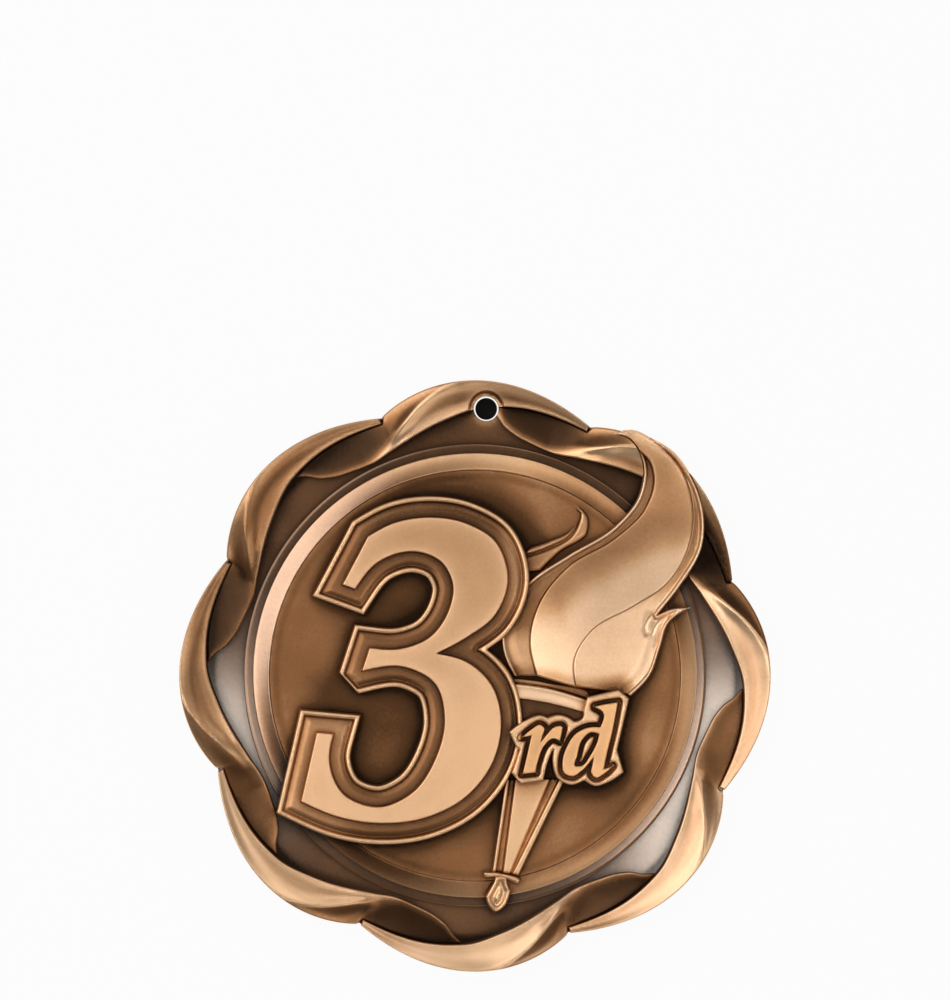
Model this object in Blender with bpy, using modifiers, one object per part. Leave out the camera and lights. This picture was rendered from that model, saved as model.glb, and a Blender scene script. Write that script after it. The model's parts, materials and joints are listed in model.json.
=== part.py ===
"""Third-place award medal, lying on its flat back with the relief facing up.

A scalloped back plate carries a dished field, a bevelled ring and eight twisted leaves. The numeral, the torch and its
flame are let into them, down to one common seat. +Y points at the hanging hole, and +Z out of the front.
Sizes are in millimetres.
"""

import math

import bmesh
import bpy
import numpy as np

MM = 0.001

# Driving dimensions of the body
MEDAL_DIAMETER = 76.2
BACK_THICKNESS = 2.4
LOBES = 8
LOBE_DEPTH = 2.75
LOBE_TURN = 110.0
BORDER_WIDTH = 7.7
FLOOR_WIDTH = 0.5
BEAD_WIDTH = 3.4
LEDGE_WIDTH = 1.2
DISH_WIDTH = 9.0
HOLE_DIAMETER = 3.2
HOLE_FROM_CREST = 3.6
HOLE_SIDE_SHIFT = 1.45
SPOT_FACE_DIAMETER = 4.2
SPOT_FACE_HEIGHT = 0.6

# Heights above the floor, which is the top of the back plate
SEAT_HEIGHT = 0.25
FIELD_HEIGHT = 0.6
FIELD_DISH = 0.35
LEDGE_HEIGHT = 0.4
BEAD_HEIGHT = 1.0
BEAD_LIP = 0.12
BEAD_HOLLOW = 1.3
LEAF_HEIGHT = 2.6
NUMERAL_HEIGHT = 2.6
NUMERAL_TRAY_DEPTH = 0.9
SUFFIX_HEIGHT = 3.1
SUFFIX_TRAY_DEPTH = 0.6
CUP_HEIGHT = 2.0
BOWL_HEIGHT = 0.9
HANDLE_HEIGHT = 1.8
HANDLE_GROOVE_DEPTH = 0.5
GUARD_HEIGHT = 1.9
POMMEL_HEIGHT = 1.7
POMMEL_DISH_DEPTH = 0.4
FLAME_BACK_HEIGHT = 1.7
FLAME_MIDDLE_HEIGHT = 2.0
FLAME_FRONT_HEIGHT = 2.2
FLAME_WISP_HEIGHT = 1.4
FLAME_CROWN = 0.7
CUP_CROWN = 1.0

# Clearances
FIT_GAP = 0.08
LEAF_GAP = 0.1

# How finely curves are followed
CURVE_STEP = 0.3
CURVE_TOLERANCE = 0.035
TURN_STEPS = 72
LEAF_STEPS = 30
LEAF_ROWS = 6
BEAD_STEPS = 4
DISH_STEPS = 4
FLAME_CROWN_STEP = 1.5
CUP_CROWN_STEP = 0.45
MITRE_LIMIT = 1.7
SQUARE_CORNER = 1.1

# The outlines and widths below are drawn on a medal this wide, with its centre as their origin
DRAWN_DIAMETER = 76.2
NUMERAL_CHANNEL = 2.1
NUMERAL_RIM = 0.65
SUFFIX_RIM = 0.6
POMMEL_RIM = 0.6
FLAME_CROWN_REACH = 3.0
CUP_CROWN_REACH = 1.1

# Every inner list is a smooth curve, and a new list starts at each corner
NUMERAL = [
    [(-13.8, 18.0), (-10.4, 19.75), (-6.0, 20.45), (-1.2, 19.7), (2.6, 17.4), (4.25, 12.3), (2.4, 7.6),
     (-0.9, 5.05)],
    [(-4.9, 2.9), (-0.7, 1.65), (2.2, -1.2), (3.4, -6.0), (2.4, -10.9), (-1.0, -15.45), (-6.3, -18.25),
     (-12.0, -19.0), (-17.6, -18.2)],
    [(-22.45, -16.2)],
    [(-20.4, -7.25)],
    [(-18.2, -7.45), (-18.75, -10.8), (-16.9, -15.2), (-12.5, -16.85), (-8.2, -15.1), (-5.0, -10.4),
     (-3.95, -5.8), (-5.2, -1.0), (-9.0, 1.1)],
    [(-14.6, 0.6)],
    [(-13.6, 3.65), (-9.9, 3.5), (-5.75, 5.1), (-3.35, 8.6), (-2.85, 11.6), (-4.3, 14.6), (-7.6, 16.0),
     (-12.4, 14.7)],
    [(-15.45, 11.15)],
    [(-17.1, 11.75)],
]
SUFFIX = [
    [(4.3, -7.15), (6.4, -5.65), (8.5, -5.0)],
    [(9.35, -5.3), (10.6, -4.95), (12.0, -5.25)],
    [(12.85, -5.8), (13.8, -5.3)],
    [(13.85, -4.6)],
    [(14.4, -2.65)],
    [(18.5, -1.7)],
    [(19.9, -2.9)],
    [(18.35, -9.5)],
    [(19.2, -12.4), (17.2, -13.7), (15.4, -14.2)],
    [(14.05, -13.5), (12.3, -14.05), (10.6, -13.2), (9.9, -11.0)],
    [(10.05, -9.5), (9.4, -11.2)],
    [(8.85, -13.45)],
    [(5.8, -13.9)],
    [(4.65, -12.5)],
    [(5.6, -9.6)],
    [(5.15, -9.0)],
]
CUP = [
    [(4.9, -0.35), (9.4, -0.95), (14.8, -2.55)],
    [(14.2, -4.9), (9.6, -3.65)],
    [(5.2, -2.95)],
]
BOWL = [
    [(5.2, -2.75), (9.6, -3.45)],
    [(14.4, -4.7)],
    [(14.0, -6.4)],
    [(5.2, -6.4)],
]
HANDLE = [[(3.95, -13.3)], [(11.65, -13.3)], [(5.65, -25.7)], [(2.2, -25.2)]]
HANDLE_GROOVE_LEFT = [[(4.4, -12.5)], [(5.35, -12.5)], [(3.7, -25.9)], [(2.75, -25.9)]]
HANDLE_GROOVE_RIGHT = [[(9.9, -12.5)], [(11.3, -12.5)], [(5.0, -25.9)], [(4.4, -25.9)]]
GUARD = [[(0.95, -25.2), (3.2, -25.35), (5.9, -26.5)], [(5.5, -27.05), (3.2, -26.0), (1.1, -25.9)]]
POMMEL = [
    [(2.6, -25.8)],
    [(2.4, -26.6), (2.0, -27.3)],
    [(1.35, -28.5), (1.65, -29.5), (2.6, -30.5), (3.9, -29.7), (4.4, -28.6)],
    [(4.65, -27.7), (4.3, -27.0)],
    [(4.1, -25.8)],
]
FLAME_LEFT_SIDE = [(5.0, -0.1), (3.5, 3.6), (4.2, 8.8), (7.0, 12.2), (12.0, 15.6), (18.1, 19.4), (21.1, 23.2),
                   (21.65, 27.0)]
FLAME_BACK_TIP = (21.0, 29.1)
FLAME_BACK_LINE = [(8.0, 0.0), (7.1, 4.6), (8.5, 9.7), (12.0, 14.0), (18.2, 17.8), (22.0, 21.6), (23.1, 25.5),
                   (22.5, 27.7)]
FLAME_TIP = (17.9, 31.15)
FLAME_SHOULDER = (22.6, 30.75)
FLAME_FRONT_LINE = [(13.0, -1.5), (12.8, 2.1), (15.0, 5.8), (20.4, 9.0), (24.8, 12.0), (27.4, 16.4), (28.1, 21.0),
                    (26.9, 25.9)]
FLAME_RIGHT_SIDE = [(25.4, 29.1), (28.0, 25.6), (29.5, 21.0), (29.35, 16.8), (26.5, 11.6)]
FLAME_NOTCH = (23.5, 7.85)
SPUR_TIP = (27.8, 8.8)
SPUR_SIDE = [(25.0, 6.8), (23.9, 3.6), (22.5, -0.1)]
FLAME_FOOT = (20.1, -2.6)
FLAME_BACK = [FLAME_LEFT_SIDE, [FLAME_BACK_TIP] + FLAME_BACK_LINE[:0:-1], [FLAME_BACK_LINE[0]]]
FLAME_MIDDLE = [
    FLAME_BACK_LINE,
    [FLAME_BACK_TIP, (19.9, 30.45)],
    [FLAME_TIP, (20.2, 31.75)],
    [FLAME_SHOULDER] + FLAME_FRONT_LINE[:0:-1],
    [FLAME_FRONT_LINE[0]],
]
FLAME_FRONT = [
    FLAME_FRONT_LINE,
    [FLAME_SHOULDER] + FLAME_RIGHT_SIDE,
    [FLAME_NOTCH, (25.3, 8.65)],
    [SPUR_TIP] + SPUR_SIDE,
    [FLAME_FOOT],
]
FLAME_WISP = [
    [(6.0, 13.0), (6.4, 16.0), (9.4, 17.4), (12.4, 18.9), (13.3, 20.4)],
    [(12.9, 22.1), (14.6, 20.6), (14.6, 18.5), (11.0, 15.9)],
    [(8.5, 13.5)],
]

# Leaf border: a share of the lobe's turn, then a share of the border's width or of the leaf's height
LEAF_START = -0.47
LEAF_END = 0.955
LEAF_STEP_OUT = (-0.025, 0.02)
LOBE_SKEW = 0.85
LEAF_INNER = [(-0.5, 0.448), (-0.45, 0.578), (-0.4, 0.76), (-0.3, 0.916), (-0.13, 1.0), (0.0, 0.922), (0.3, 0.63),
              (0.5, 0.442), (0.7, 0.396), (1.0, 0.448)]
LEAF_RIDGE = [(-0.16, 1.0), (-0.1, 0.945), (0.0, 0.786), (0.1, 0.552), (0.2, 0.305), (0.3, 0.097), (0.36, 0.0)]
EDGE_SHARE = [(-0.5, 0.2), (-0.13, 0.3), (0.0, 0.38), (0.3, 0.55), (0.6, 0.65), (1.0, 0.5)]
CREST_SHARE = [(-0.16, 0.3), (0.0, 0.62), (0.15, 0.9), (0.36, 1.0), (0.6, 0.95), (1.0, 0.62)]
FOOT_SHARE = [(-0.5, 0.12), (-0.03, 0.14), (0.05, 0.35), (0.2, 0.75), (0.36, 1.0), (1.0, 1.0)]
FACE_SAG = 0.06

# Derived sizes
DRAWING_SCALE = MEDAL_DIAMETER / DRAWN_DIAMETER
CREST_RADIUS = MEDAL_DIAMETER / 2
BEAD_OUTER = CREST_RADIUS - BORDER_WIDTH - FLOOR_WIDTH
FIELD_RADIUS = BEAD_OUTER - BEAD_WIDTH
FLOOR = BACK_THICKNESS
SEAT = FLOOR + SEAT_HEIGHT
ABOVE_ALL = FLOOR + 2 * max(LEAF_HEIGHT, SUFFIX_HEIGHT)
HOLE_CENTRE = (HOLE_SIDE_SHIFT, CREST_RADIUS - HOLE_FROM_CREST)

BRONZE = (0.60, 0.37, 0.20, 1.0)
DARK_BRONZE = (0.22, 0.12, 0.06, 1.0)


def clear_scene():
    for old in list(bpy.data.objects):
        bpy.data.objects.remove(old, do_unlink=True)


def new_collection(name, hidden):
    made = bpy.data.collections.new(name)
    made.hide_render = hidden
    bpy.context.scene.collection.children.link(made)
    return made


# Outlines
def smooth_curve(knots, step):
    """Points on the cubic through these knots, without the last one."""
    knots = np.array(knots, float)
    spans = np.linalg.norm(np.diff(knots, axis=0), axis=1)
    slopes = np.diff(knots, axis=0) / spans[:, None]
    if len(knots) == 2:
        return [knots[0]]
    before, after = spans[:-1, None], spans[1:, None]
    middle = (slopes[:-1] * after + slopes[1:] * before) / (before + after)
    first = 1.5 * slopes[0] - 0.5 * middle[0]
    last = 1.5 * slopes[-1] - 0.5 * middle[-1]
    tangents = np.vstack([first, middle, last])
    points = []
    for i, span in enumerate(spans):
        count = max(2, round(span / step))
        for s in np.arange(count) / count:
            points.append(
                (2 * s**3 - 3 * s**2 + 1) * knots[i]
                + (s**3 - 2 * s**2 + s) * span * tangents[i]
                + (3 * s**2 - 2 * s**3) * knots[i + 1]
                + (s**3 - s**2) * span * tangents[i + 1]
            )
    return points


def drawn(strokes):
    """A closed outline, in order against the clock, from its smooth curves."""
    points = []
    for i, stroke in enumerate(strokes):
        knots = stroke + [strokes[(i + 1) % len(strokes)][0]]
        points += smooth_curve(knots, CURVE_STEP)
    points = np.array(points) * DRAWING_SCALE
    return points if turned_area(points) > 0 else points[::-1]


def turned_area(points):
    after = np.roll(points, -1, axis=0)
    return 0.5 * float(np.sum(points[:, 0] * after[:, 1] - after[:, 0] * points[:, 1]))


def distance_to(points, outline):
    """How far each point lies from a closed outline."""
    start = outline[None, :, :]
    along = np.roll(outline, -1, axis=0)[None, :, :] - start
    offset = points[:, None, :] - start
    share = np.clip((offset * along).sum(2) / (along * along).sum(2), 0, 1)
    return np.linalg.norm(offset - share[:, :, None] * along, axis=2).min(axis=1)


def inside(points, outline):
    """Whether each point lies inside a closed outline, by counting the edges to its right."""
    start, end = outline[None, :, :], np.roll(outline, -1, axis=0)[None, :, :]
    x, y = points[:, None, 0], points[:, None, 1]
    spans = (start[:, :, 1] > y) != (end[:, :, 1] > y)
    rise = np.where(spans, end[:, :, 1] - start[:, :, 1], 1.0)
    crossing = start[:, :, 0] + (y - start[:, :, 1]) / rise * (end[:, :, 0] - start[:, :, 0])
    return np.sum(spans & (crossing > x), axis=1) % 2 == 1


def grown(outline, distance):
    """The outline moved out by a distance, or in by a negative one, with square corners."""
    ahead = np.roll(outline, -1, axis=0) - outline
    ahead /= np.linalg.norm(ahead, axis=1)[:, None]
    behind = np.roll(ahead, 1, axis=0)
    out_ahead = np.stack([ahead[:, 1], -ahead[:, 0]], axis=1)
    out_behind = np.roll(out_ahead, 1, axis=0)
    moved = []
    for i, corner in enumerate(outline):
        both = out_ahead[i] + out_behind[i]
        stretch = 1 + float(out_ahead[i] @ out_behind[i])
        opens = distance * float(out_behind[i] @ ahead[i]) < 0
        if opens and stretch < 2 / MITRE_LIMIT**2:
            square = SQUARE_CORNER * min(1.0, abs(distance))
            moved.append(corner + out_behind[i] * distance + behind[i] * square)
            moved.append(corner + out_ahead[i] * distance - ahead[i] * square)
        else:
            moved.append(corner + both * distance / stretch)
    moved = np.array(moved)
    return moved[distance_to(moved, outline) > 0.998 * abs(distance)]


def thinned(points, tolerance):
    """The fewest of these points that follow the closed outline to a tolerance."""
    far = int(np.argmax(np.linalg.norm(points - points[0], axis=1)))
    loop = np.vstack([points, points[:1]])
    keep = {0, far}
    spans = [(0, far), (far, len(points))]
    while spans:
        low, high = spans.pop()
        if high - low < 2:
            continue
        chord = loop[high] - loop[low]
        offset = loop[low + 1 : high] - loop[low]
        gaps = np.abs(offset[:, 0] * chord[1] - offset[:, 1] * chord[0]) / max(np.linalg.norm(chord), 1e-9)
        worst = int(np.argmax(gaps))
        if gaps[worst] > tolerance:
            middle = low + 1 + worst
            keep.add(middle)
            spans += [(low, middle), (middle, high)]
    return points[sorted(keep)]


# Solids
def to_mesh_object(name, source, collection):
    """Replaces a curve by a welded mesh object of the same shape."""
    bpy.context.view_layer.update()
    evaluated = source.evaluated_get(bpy.context.evaluated_depsgraph_get())
    mesh = bpy.data.meshes.new_from_object(evaluated)
    mesh.name = name
    shape = bmesh.new()
    shape.from_mesh(mesh)
    bmesh.ops.remove_doubles(shape, verts=shape.verts, dist=1e-7)
    bmesh.ops.recalc_face_normals(shape, faces=shape.faces)
    shape.to_mesh(mesh)
    shape.free()
    piece = bpy.data.objects.new(name, mesh)
    piece.matrix_world = source.matrix_world.copy()
    bpy.data.objects.remove(source, do_unlink=True)
    collection.objects.link(piece)
    return piece


def prism(name, outline, low, high, collection):
    """A flat outline raised from one height to another."""
    curve = bpy.data.curves.new(name + "_outline", "CURVE")
    curve.dimensions = "2D"
    curve.fill_mode = "BOTH"
    curve.extrude = (high - low) / 2 * MM
    points = thinned(outline, CURVE_TOLERANCE)
    spline = curve.splines.new("POLY")
    spline.points.add(len(points) - 1)
    spline.use_cyclic_u = True
    for point, (x, y) in zip(spline.points, points):
        point.co = (x * MM, y * MM, 0, 1)
    flat = bpy.data.objects.new(name + "_outline", curve)
    flat.location.z = (low + high) / 2 * MM
    bpy.context.scene.collection.objects.link(flat)
    return to_mesh_object(name, flat, collection)


def turned(name, profile, closed, collection):
    """A profile of (radius, height) points turned about Z. It runs down its outer side."""
    mesh = bpy.data.meshes.new(name)
    ends = [(i, i + 1) for i in range(len(profile) - 1)]
    if closed:
        ends.append((len(profile) - 1, 0))
    mesh.from_pydata([(r * MM, 0, z * MM) for r, z in profile], ends, [])
    piece = bpy.data.objects.new(name, mesh)
    collection.objects.link(piece)
    screw = piece.modifiers.new("turn", "SCREW")
    screw.axis = "Z"
    screw.angle = math.tau
    screw.steps = TURN_STEPS
    screw.render_steps = TURN_STEPS
    screw.use_merge_vertices = True
    screw.merge_threshold = 1e-6
    return piece


def drill(name, centre, diameter, low, high, collection):
    """An upright cylinder to cut with."""
    shape = bmesh.new()
    bmesh.ops.create_cone(
        shape,
        cap_ends=True,
        segments=32,
        radius1=diameter / 2 * MM,
        radius2=diameter / 2 * MM,
        depth=(high - low) * MM,
    )
    mesh = bpy.data.meshes.new(name)
    shape.to_mesh(mesh)
    shape.free()
    piece = bpy.data.objects.new(name, mesh)
    piece.location = (centre[0] * MM, centre[1] * MM, (low + high) / 2 * MM)
    collection.objects.link(piece)
    return piece


def crown_cutter(name, outline, top, drop, reach, step, collection):
    """A block whose underside domes over an outline: it falls by a drop towards the edge, within a reach."""
    low, high = outline.min(axis=0) - step, outline.max(axis=0) + step
    columns, rows = np.ceil((high - low) / step).astype(int)
    shape = bmesh.new()
    bmesh.ops.create_grid(shape, x_segments=int(columns), y_segments=int(rows), size=0.5)
    places = np.array([(vertex.co.x, vertex.co.y) for vertex in shape.verts])
    places = low + (places + 0.5) * (high - low)
    depth = np.where(inside(places, outline), distance_to(places, outline), 0.0)
    heights = top - drop * (1 - np.minimum(depth / reach, 1)) ** 2
    for vertex, (x, y), z in zip(list(shape.verts), places, heights):
        vertex.co = (x * MM, y * MM, z * MM)
    pulled = bmesh.ops.extrude_face_region(shape, geom=shape.faces[:])
    for item in pulled["geom"]:
        if isinstance(item, bmesh.types.BMVert):
            item.co.z = ABOVE_ALL * MM
    bmesh.ops.recalc_face_normals(shape, faces=shape.faces)
    mesh = bpy.data.meshes.new(name)
    shape.to_mesh(mesh)
    shape.free()
    piece = bpy.data.objects.new(name, mesh)
    collection.objects.link(piece)
    return piece


def combine(piece, other, operation):
    boolean = piece.modifiers.new(other.name, "BOOLEAN")
    boolean.operation = operation
    boolean.solver = "EXACT"
    boolean.object = other


def cut(piece, cutters):
    for cutter in cutters:
        combine(piece, cutter, "DIFFERENCE")


# Leaves of the border
def knot_value(knots, t):
    """A curve through (t, value) knots that never overshoots them, held level beyond its ends."""
    times, values = np.array(knots, float).T
    steps = np.diff(values) / np.diff(times)
    product = steps[:-1] * steps[1:]
    level = np.where(product > 0, steps[:-1] + steps[1:], 1.0)
    inner = np.where(product > 0, 2 * product / level, 0.0)
    slopes = np.concatenate([steps[:1], inner, steps[-1:]])
    t = min(max(t, times[0]), times[-1])
    i = min(int(np.searchsorted(times, t, side="right")) - 1, len(times) - 2)
    span = times[i + 1] - times[i]
    s = (t - times[i]) / span
    return (
        (2 * s**3 - 3 * s**2 + 1) * values[i]
        + (s**3 - 2 * s**2 + s) * span * slopes[i]
        + (3 * s**2 - 2 * s**3) * values[i + 1]
        + (s**3 - s**2) * span * slopes[i + 1]
    )


def lobe_radius(t):
    """Outer edge of the medal across one lobe."""
    return CREST_RADIUS - LOBE_DEPTH * (1 - math.sin(math.pi * t**LOBE_SKEW))


def leaf_inner(t):
    return CREST_RADIUS - BORDER_WIDTH * knot_value(LEAF_INNER, t)


def leaf_outer(t):
    """Outer edge of a leaf: the tail of the one before it, then the edge of the medal."""
    begin, end = LEAF_STEP_OUT
    if t <= begin:
        return leaf_inner(t + 1) - LEAF_GAP
    if t >= end:
        return lobe_radius(t)
    s = (t - begin) / (end - begin)
    return (1 - s) * leaf_outer(begin) + s * lobe_radius(end)


def leaf_rise(t, radius):
    """Height of a leaf's face above the floor, with a crest that runs out across the ribbon."""
    inner, outer = leaf_inner(t), leaf_outer(t)
    crest_at = CREST_RADIUS - BORDER_WIDTH * knot_value(LEAF_RIDGE, t)
    crest_at = min(max(crest_at, inner), outer)
    edge = knot_value(EDGE_SHARE, t)
    crest = max(edge, knot_value(CREST_SHARE, t))
    foot = min(crest, knot_value(FOOT_SHARE, t))
    if radius <= crest_at and crest_at > inner:
        s = (radius - inner) / (crest_at - inner)
        share = edge + (crest - edge) * s - FACE_SAG * math.sin(math.pi * s)
    else:
        start = edge if crest_at <= inner else crest
        s = (radius - crest_at) / max(outer - crest_at, 1e-9)
        share = start + (foot - start) * (1 - (1 - s) ** 2)
    return LEAF_HEIGHT * share


def turn_angle(lobe, t):
    return math.radians(LOBE_TURN - (lobe + t) * 360 / LOBES)


def leaf(name, lobe, collection):
    """One leaf: a grid bent over the ribbon's face and carried down to the floor."""
    shape = bmesh.new()
    bmesh.ops.create_grid(shape, x_segments=LEAF_STEPS, y_segments=LEAF_ROWS, size=0.5)
    for vertex in shape.verts:
        t = LEAF_START + (LEAF_END - LEAF_START) * (vertex.co.x + 0.5)
        inner, outer = leaf_inner(t), leaf_outer(t)
        radius = inner + (outer - inner) * (vertex.co.y + 0.5)
        angle = turn_angle(lobe, t)
        height = FLOOR + leaf_rise(t, radius)
        vertex.co = (radius * math.cos(angle) * MM, radius * math.sin(angle) * MM, height * MM)
    pulled = bmesh.ops.extrude_face_region(shape, geom=shape.faces[:])
    for item in pulled["geom"]:
        if isinstance(item, bmesh.types.BMVert):
            item.co.z = FLOOR * MM
    bmesh.ops.recalc_face_normals(shape, faces=shape.faces)
    mesh = bpy.data.meshes.new(name)
    shape.to_mesh(mesh)
    shape.free()
    piece = bpy.data.objects.new(name, mesh)
    collection.objects.link(piece)
    return piece


def scalloped_outline():
    points = []
    for lobe in range(LOBES):
        for t in np.arange(16) / 16:
            angle = turn_angle(lobe, t)
            points.append((lobe_radius(t) * math.cos(angle), lobe_radius(t) * math.sin(angle)))
    return np.array(points)[::-1]


def paint(piece, colour, roughness):
    finish = bpy.data.materials.new(piece.name + "_finish")
    finish.use_nodes = True
    shader = finish.node_tree.nodes["Principled BSDF"]
    shader.inputs["Base Color"].default_value = colour
    shader.inputs["Metallic"].default_value = 1.0
    shader.inputs["Roughness"].default_value = roughness
    piece.data.materials.clear()
    piece.data.materials.append(finish)


def build():
    clear_scene()
    medal = new_collection("award_medal", hidden=False)
    cutters = new_collection("cutters", hidden=True)
    tops = {}
    pockets = {}
    through = {}

    def relief(name, strokes, height, shrink=0.0):
        """A flat-topped relief element on the common seat, and the pocket that it needs."""
        outline = drawn(strokes)
        if shrink:
            outline = grown(outline, -shrink)
        tops[name] = prism(name, outline, SEAT, FLOOR + height, medal)
        make_room(name, outline)
        return outline

    def crowned(name, outline, height, drop, reach, step):
        """Rounds off the top of a relief element."""
        dome = crown_cutter(
            name + "_crown", outline, FLOOR + height, drop, reach * DRAWING_SCALE, step, cutters
        )
        cut(tops[name], [dome])

    def make_room(name, outline):
        """The cutters for what an element is let into, and for what stands beside it on the seat."""
        clear = grown(outline, FIT_GAP)
        pockets[name] = prism(name + "_pocket", clear, SEAT, ABOVE_ALL, cutters)
        through[name] = prism(name + "_space", clear, 0, ABOVE_ALL, cutters)

    # Numeral in its rimmed tray
    numeral = drawn(NUMERAL)
    tray_top = FLOOR + NUMERAL_HEIGHT
    tray_floor = tray_top - NUMERAL_TRAY_DEPTH
    channel = NUMERAL_CHANNEL * DRAWING_SCALE
    plate_outline = grown(numeral, channel + NUMERAL_RIM * DRAWING_SCALE)
    numeral_plate = prism("numeral_plate", plate_outline, SEAT, tray_top, medal)
    tray = prism("numeral_tray", grown(numeral, channel), tray_floor, ABOVE_ALL, cutters)
    numeral_face = prism("numeral_face", numeral, tray_floor, tray_top, medal)
    make_room("numeral_plate", plate_outline)

    # Tray for the ordinal ending
    suffix = relief("suffix_plate", SUFFIX, SUFFIX_HEIGHT)
    suffix_floor = FLOOR + SUFFIX_HEIGHT - SUFFIX_TRAY_DEPTH
    suffix_rim = SUFFIX_RIM * DRAWING_SCALE
    suffix_tray = prism("suffix_tray", grown(suffix, -suffix_rim), suffix_floor, ABOVE_ALL, cutters)
    cut(tops["suffix_plate"], [suffix_tray])
    cut(numeral_plate, [tray, through["suffix_plate"]])

    # Torch
    cup = relief("torch_cup", CUP, CUP_HEIGHT)
    crowned("torch_cup", cup, CUP_HEIGHT, CUP_CROWN, CUP_CROWN_REACH, CUP_CROWN_STEP)
    relief("torch_bowl", BOWL, BOWL_HEIGHT)
    relief("torch_handle", HANDLE, HANDLE_HEIGHT)
    relief("torch_guard", GUARD, GUARD_HEIGHT)
    pommel = relief("torch_pommel", POMMEL, POMMEL_HEIGHT)
    groove_floor = FLOOR + HANDLE_HEIGHT - HANDLE_GROOVE_DEPTH
    grooves = [
        prism("handle_groove_left", drawn(HANDLE_GROOVE_LEFT), groove_floor, ABOVE_ALL, cutters),
        prism("handle_groove_right", drawn(HANDLE_GROOVE_RIGHT), groove_floor, ABOVE_ALL, cutters),
    ]
    dish_floor = FLOOR + POMMEL_HEIGHT - POMMEL_DISH_DEPTH
    pommel_rim = POMMEL_RIM * DRAWING_SCALE
    dish = prism("pommel_dish", grown(pommel, -pommel_rim), dish_floor, ABOVE_ALL, cutters)

    # Flame
    tongues = [
        ("flame_back", FLAME_BACK, FLAME_BACK_HEIGHT),
        ("flame_middle", FLAME_MIDDLE, FLAME_MIDDLE_HEIGHT),
        ("flame_front", FLAME_FRONT, FLAME_FRONT_HEIGHT),
    ]
    for name, strokes, height in tongues:
        tongue = relief(name, strokes, height, FIT_GAP / 2)
        crowned(name, tongue, height, FLAME_CROWN, FLAME_CROWN_REACH, FLAME_CROWN_STEP)
    relief("flame_wisp", FLAME_WISP, FLAME_WISP_HEIGHT)

    # What lies on top cuts what it covers
    numeral_and_suffix = [through["numeral_plate"], through["suffix_plate"]]
    cut(tops["torch_cup"], numeral_and_suffix)
    cut(tops["torch_bowl"], numeral_and_suffix + [through["torch_cup"]])
    cut(tops["torch_handle"], grooves + numeral_and_suffix + [through["torch_guard"]])
    cut(tops["torch_pommel"], [dish, through["torch_guard"]])
    cut(tops["flame_back"], [through["numeral_plate"], through["torch_cup"]])
    cut(tops["flame_middle"], [through["torch_cup"]])
    cut(tops["flame_front"], numeral_and_suffix + [through["torch_cup"]])
    cut(tops["flame_wisp"], [through["numeral_plate"], through["flame_back"]])

    # Body
    hole = drill("hole", HOLE_CENTRE, HOLE_DIAMETER, -1, ABOVE_ALL, cutters)
    spot_face = drill("spot_face", HOLE_CENTRE, SPOT_FACE_DIAMETER, FLOOR + SPOT_FACE_HEIGHT, ABOVE_ALL, cutters)
    back_plate = prism("back_plate", scalloped_outline(), 0, FLOOR, medal)
    flame_foot = prism("flame_foot", drawn(FLAME_MIDDLE), 0, FLOOR, cutters)
    combine(back_plate, flame_foot, "UNION")
    cut(back_plate, [hole])

    # Field, dished up to the sloping bead around it
    field_top = FLOOR + FIELD_HEIGHT
    field_edge = FIELD_RADIUS - FIT_GAP
    field = [(0, field_top)]
    for i in range(DISH_STEPS + 1):
        s = i / DISH_STEPS
        field.append((field_edge - DISH_WIDTH * (1 - s), field_top + FIELD_DISH * s**2))
    field += [(field_edge, FLOOR), (0, FLOOR)]
    field_disc = turned("field_disc", field, False, medal)
    ledge = FLOOR + LEDGE_HEIGHT
    lip = ledge + BEAD_LIP
    crest = FLOOR + BEAD_HEIGHT
    slope_end = BEAD_OUTER - LEDGE_WIDTH
    bead = []
    for i in range(BEAD_STEPS + 1):
        s = i / BEAD_STEPS
        bead.append((FIELD_RADIUS + (slope_end - FIELD_RADIUS) * s, lip + (crest - lip) * (1 - s) ** BEAD_HOLLOW))
    bead += [(slope_end, ledge), (BEAD_OUTER, ledge), (BEAD_OUTER, FLOOR), (FIELD_RADIUS, FLOOR)]
    bead_ring = turned("bead_ring", bead, True, medal)
    everything = list(pockets.values())
    cut(field_disc, everything)
    cut(bead_ring, everything)

    leaves = []
    for lobe in range(LOBES):
        leaves.append(leaf(f"border_leaf_{lobe + 1}", lobe, medal))
    flames = [pockets["flame_back"], pockets["flame_middle"], pockets["flame_front"]]
    cut(leaves[0], [hole, spot_face])
    cut(leaves[1], [hole, spot_face] + flames)
    cut(leaves[2], flames)
    cut(leaves[6], [pockets["numeral_plate"]])

    # Finishes
    for cutter in cutters.objects:
        cutter.hide_render = True
        cutter.display_type = "WIRE"
    for piece in medal.objects:
        recessed = piece.name in ("back_plate", "field_disc", "numeral_plate", "torch_bowl", "suffix_plate")
        paint(piece, DARK_BRONZE if recessed else BRONZE, 0.35)


build()
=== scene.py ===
"""Looks of the third-place award medal, lying on its back under a camera that looks straight down.

Every CAD solid of the relief is replaced by a finer face of the same outline and height: rounded edges, trays,
grooves and the two letters. A value kept at each vertex, its tone, says how far the patina was buffed off there,
and in many places it also holds painted light and shade.
Sizes are in millimetres until a mesh is made.
"""

import json
import math

import bpy
import numpy as np
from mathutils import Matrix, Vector
from mathutils.bvhtree import BVHTree
from mathutils.geometry import delaunay_2d_cdt
from mathutils.kdtree import KDTree


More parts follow.
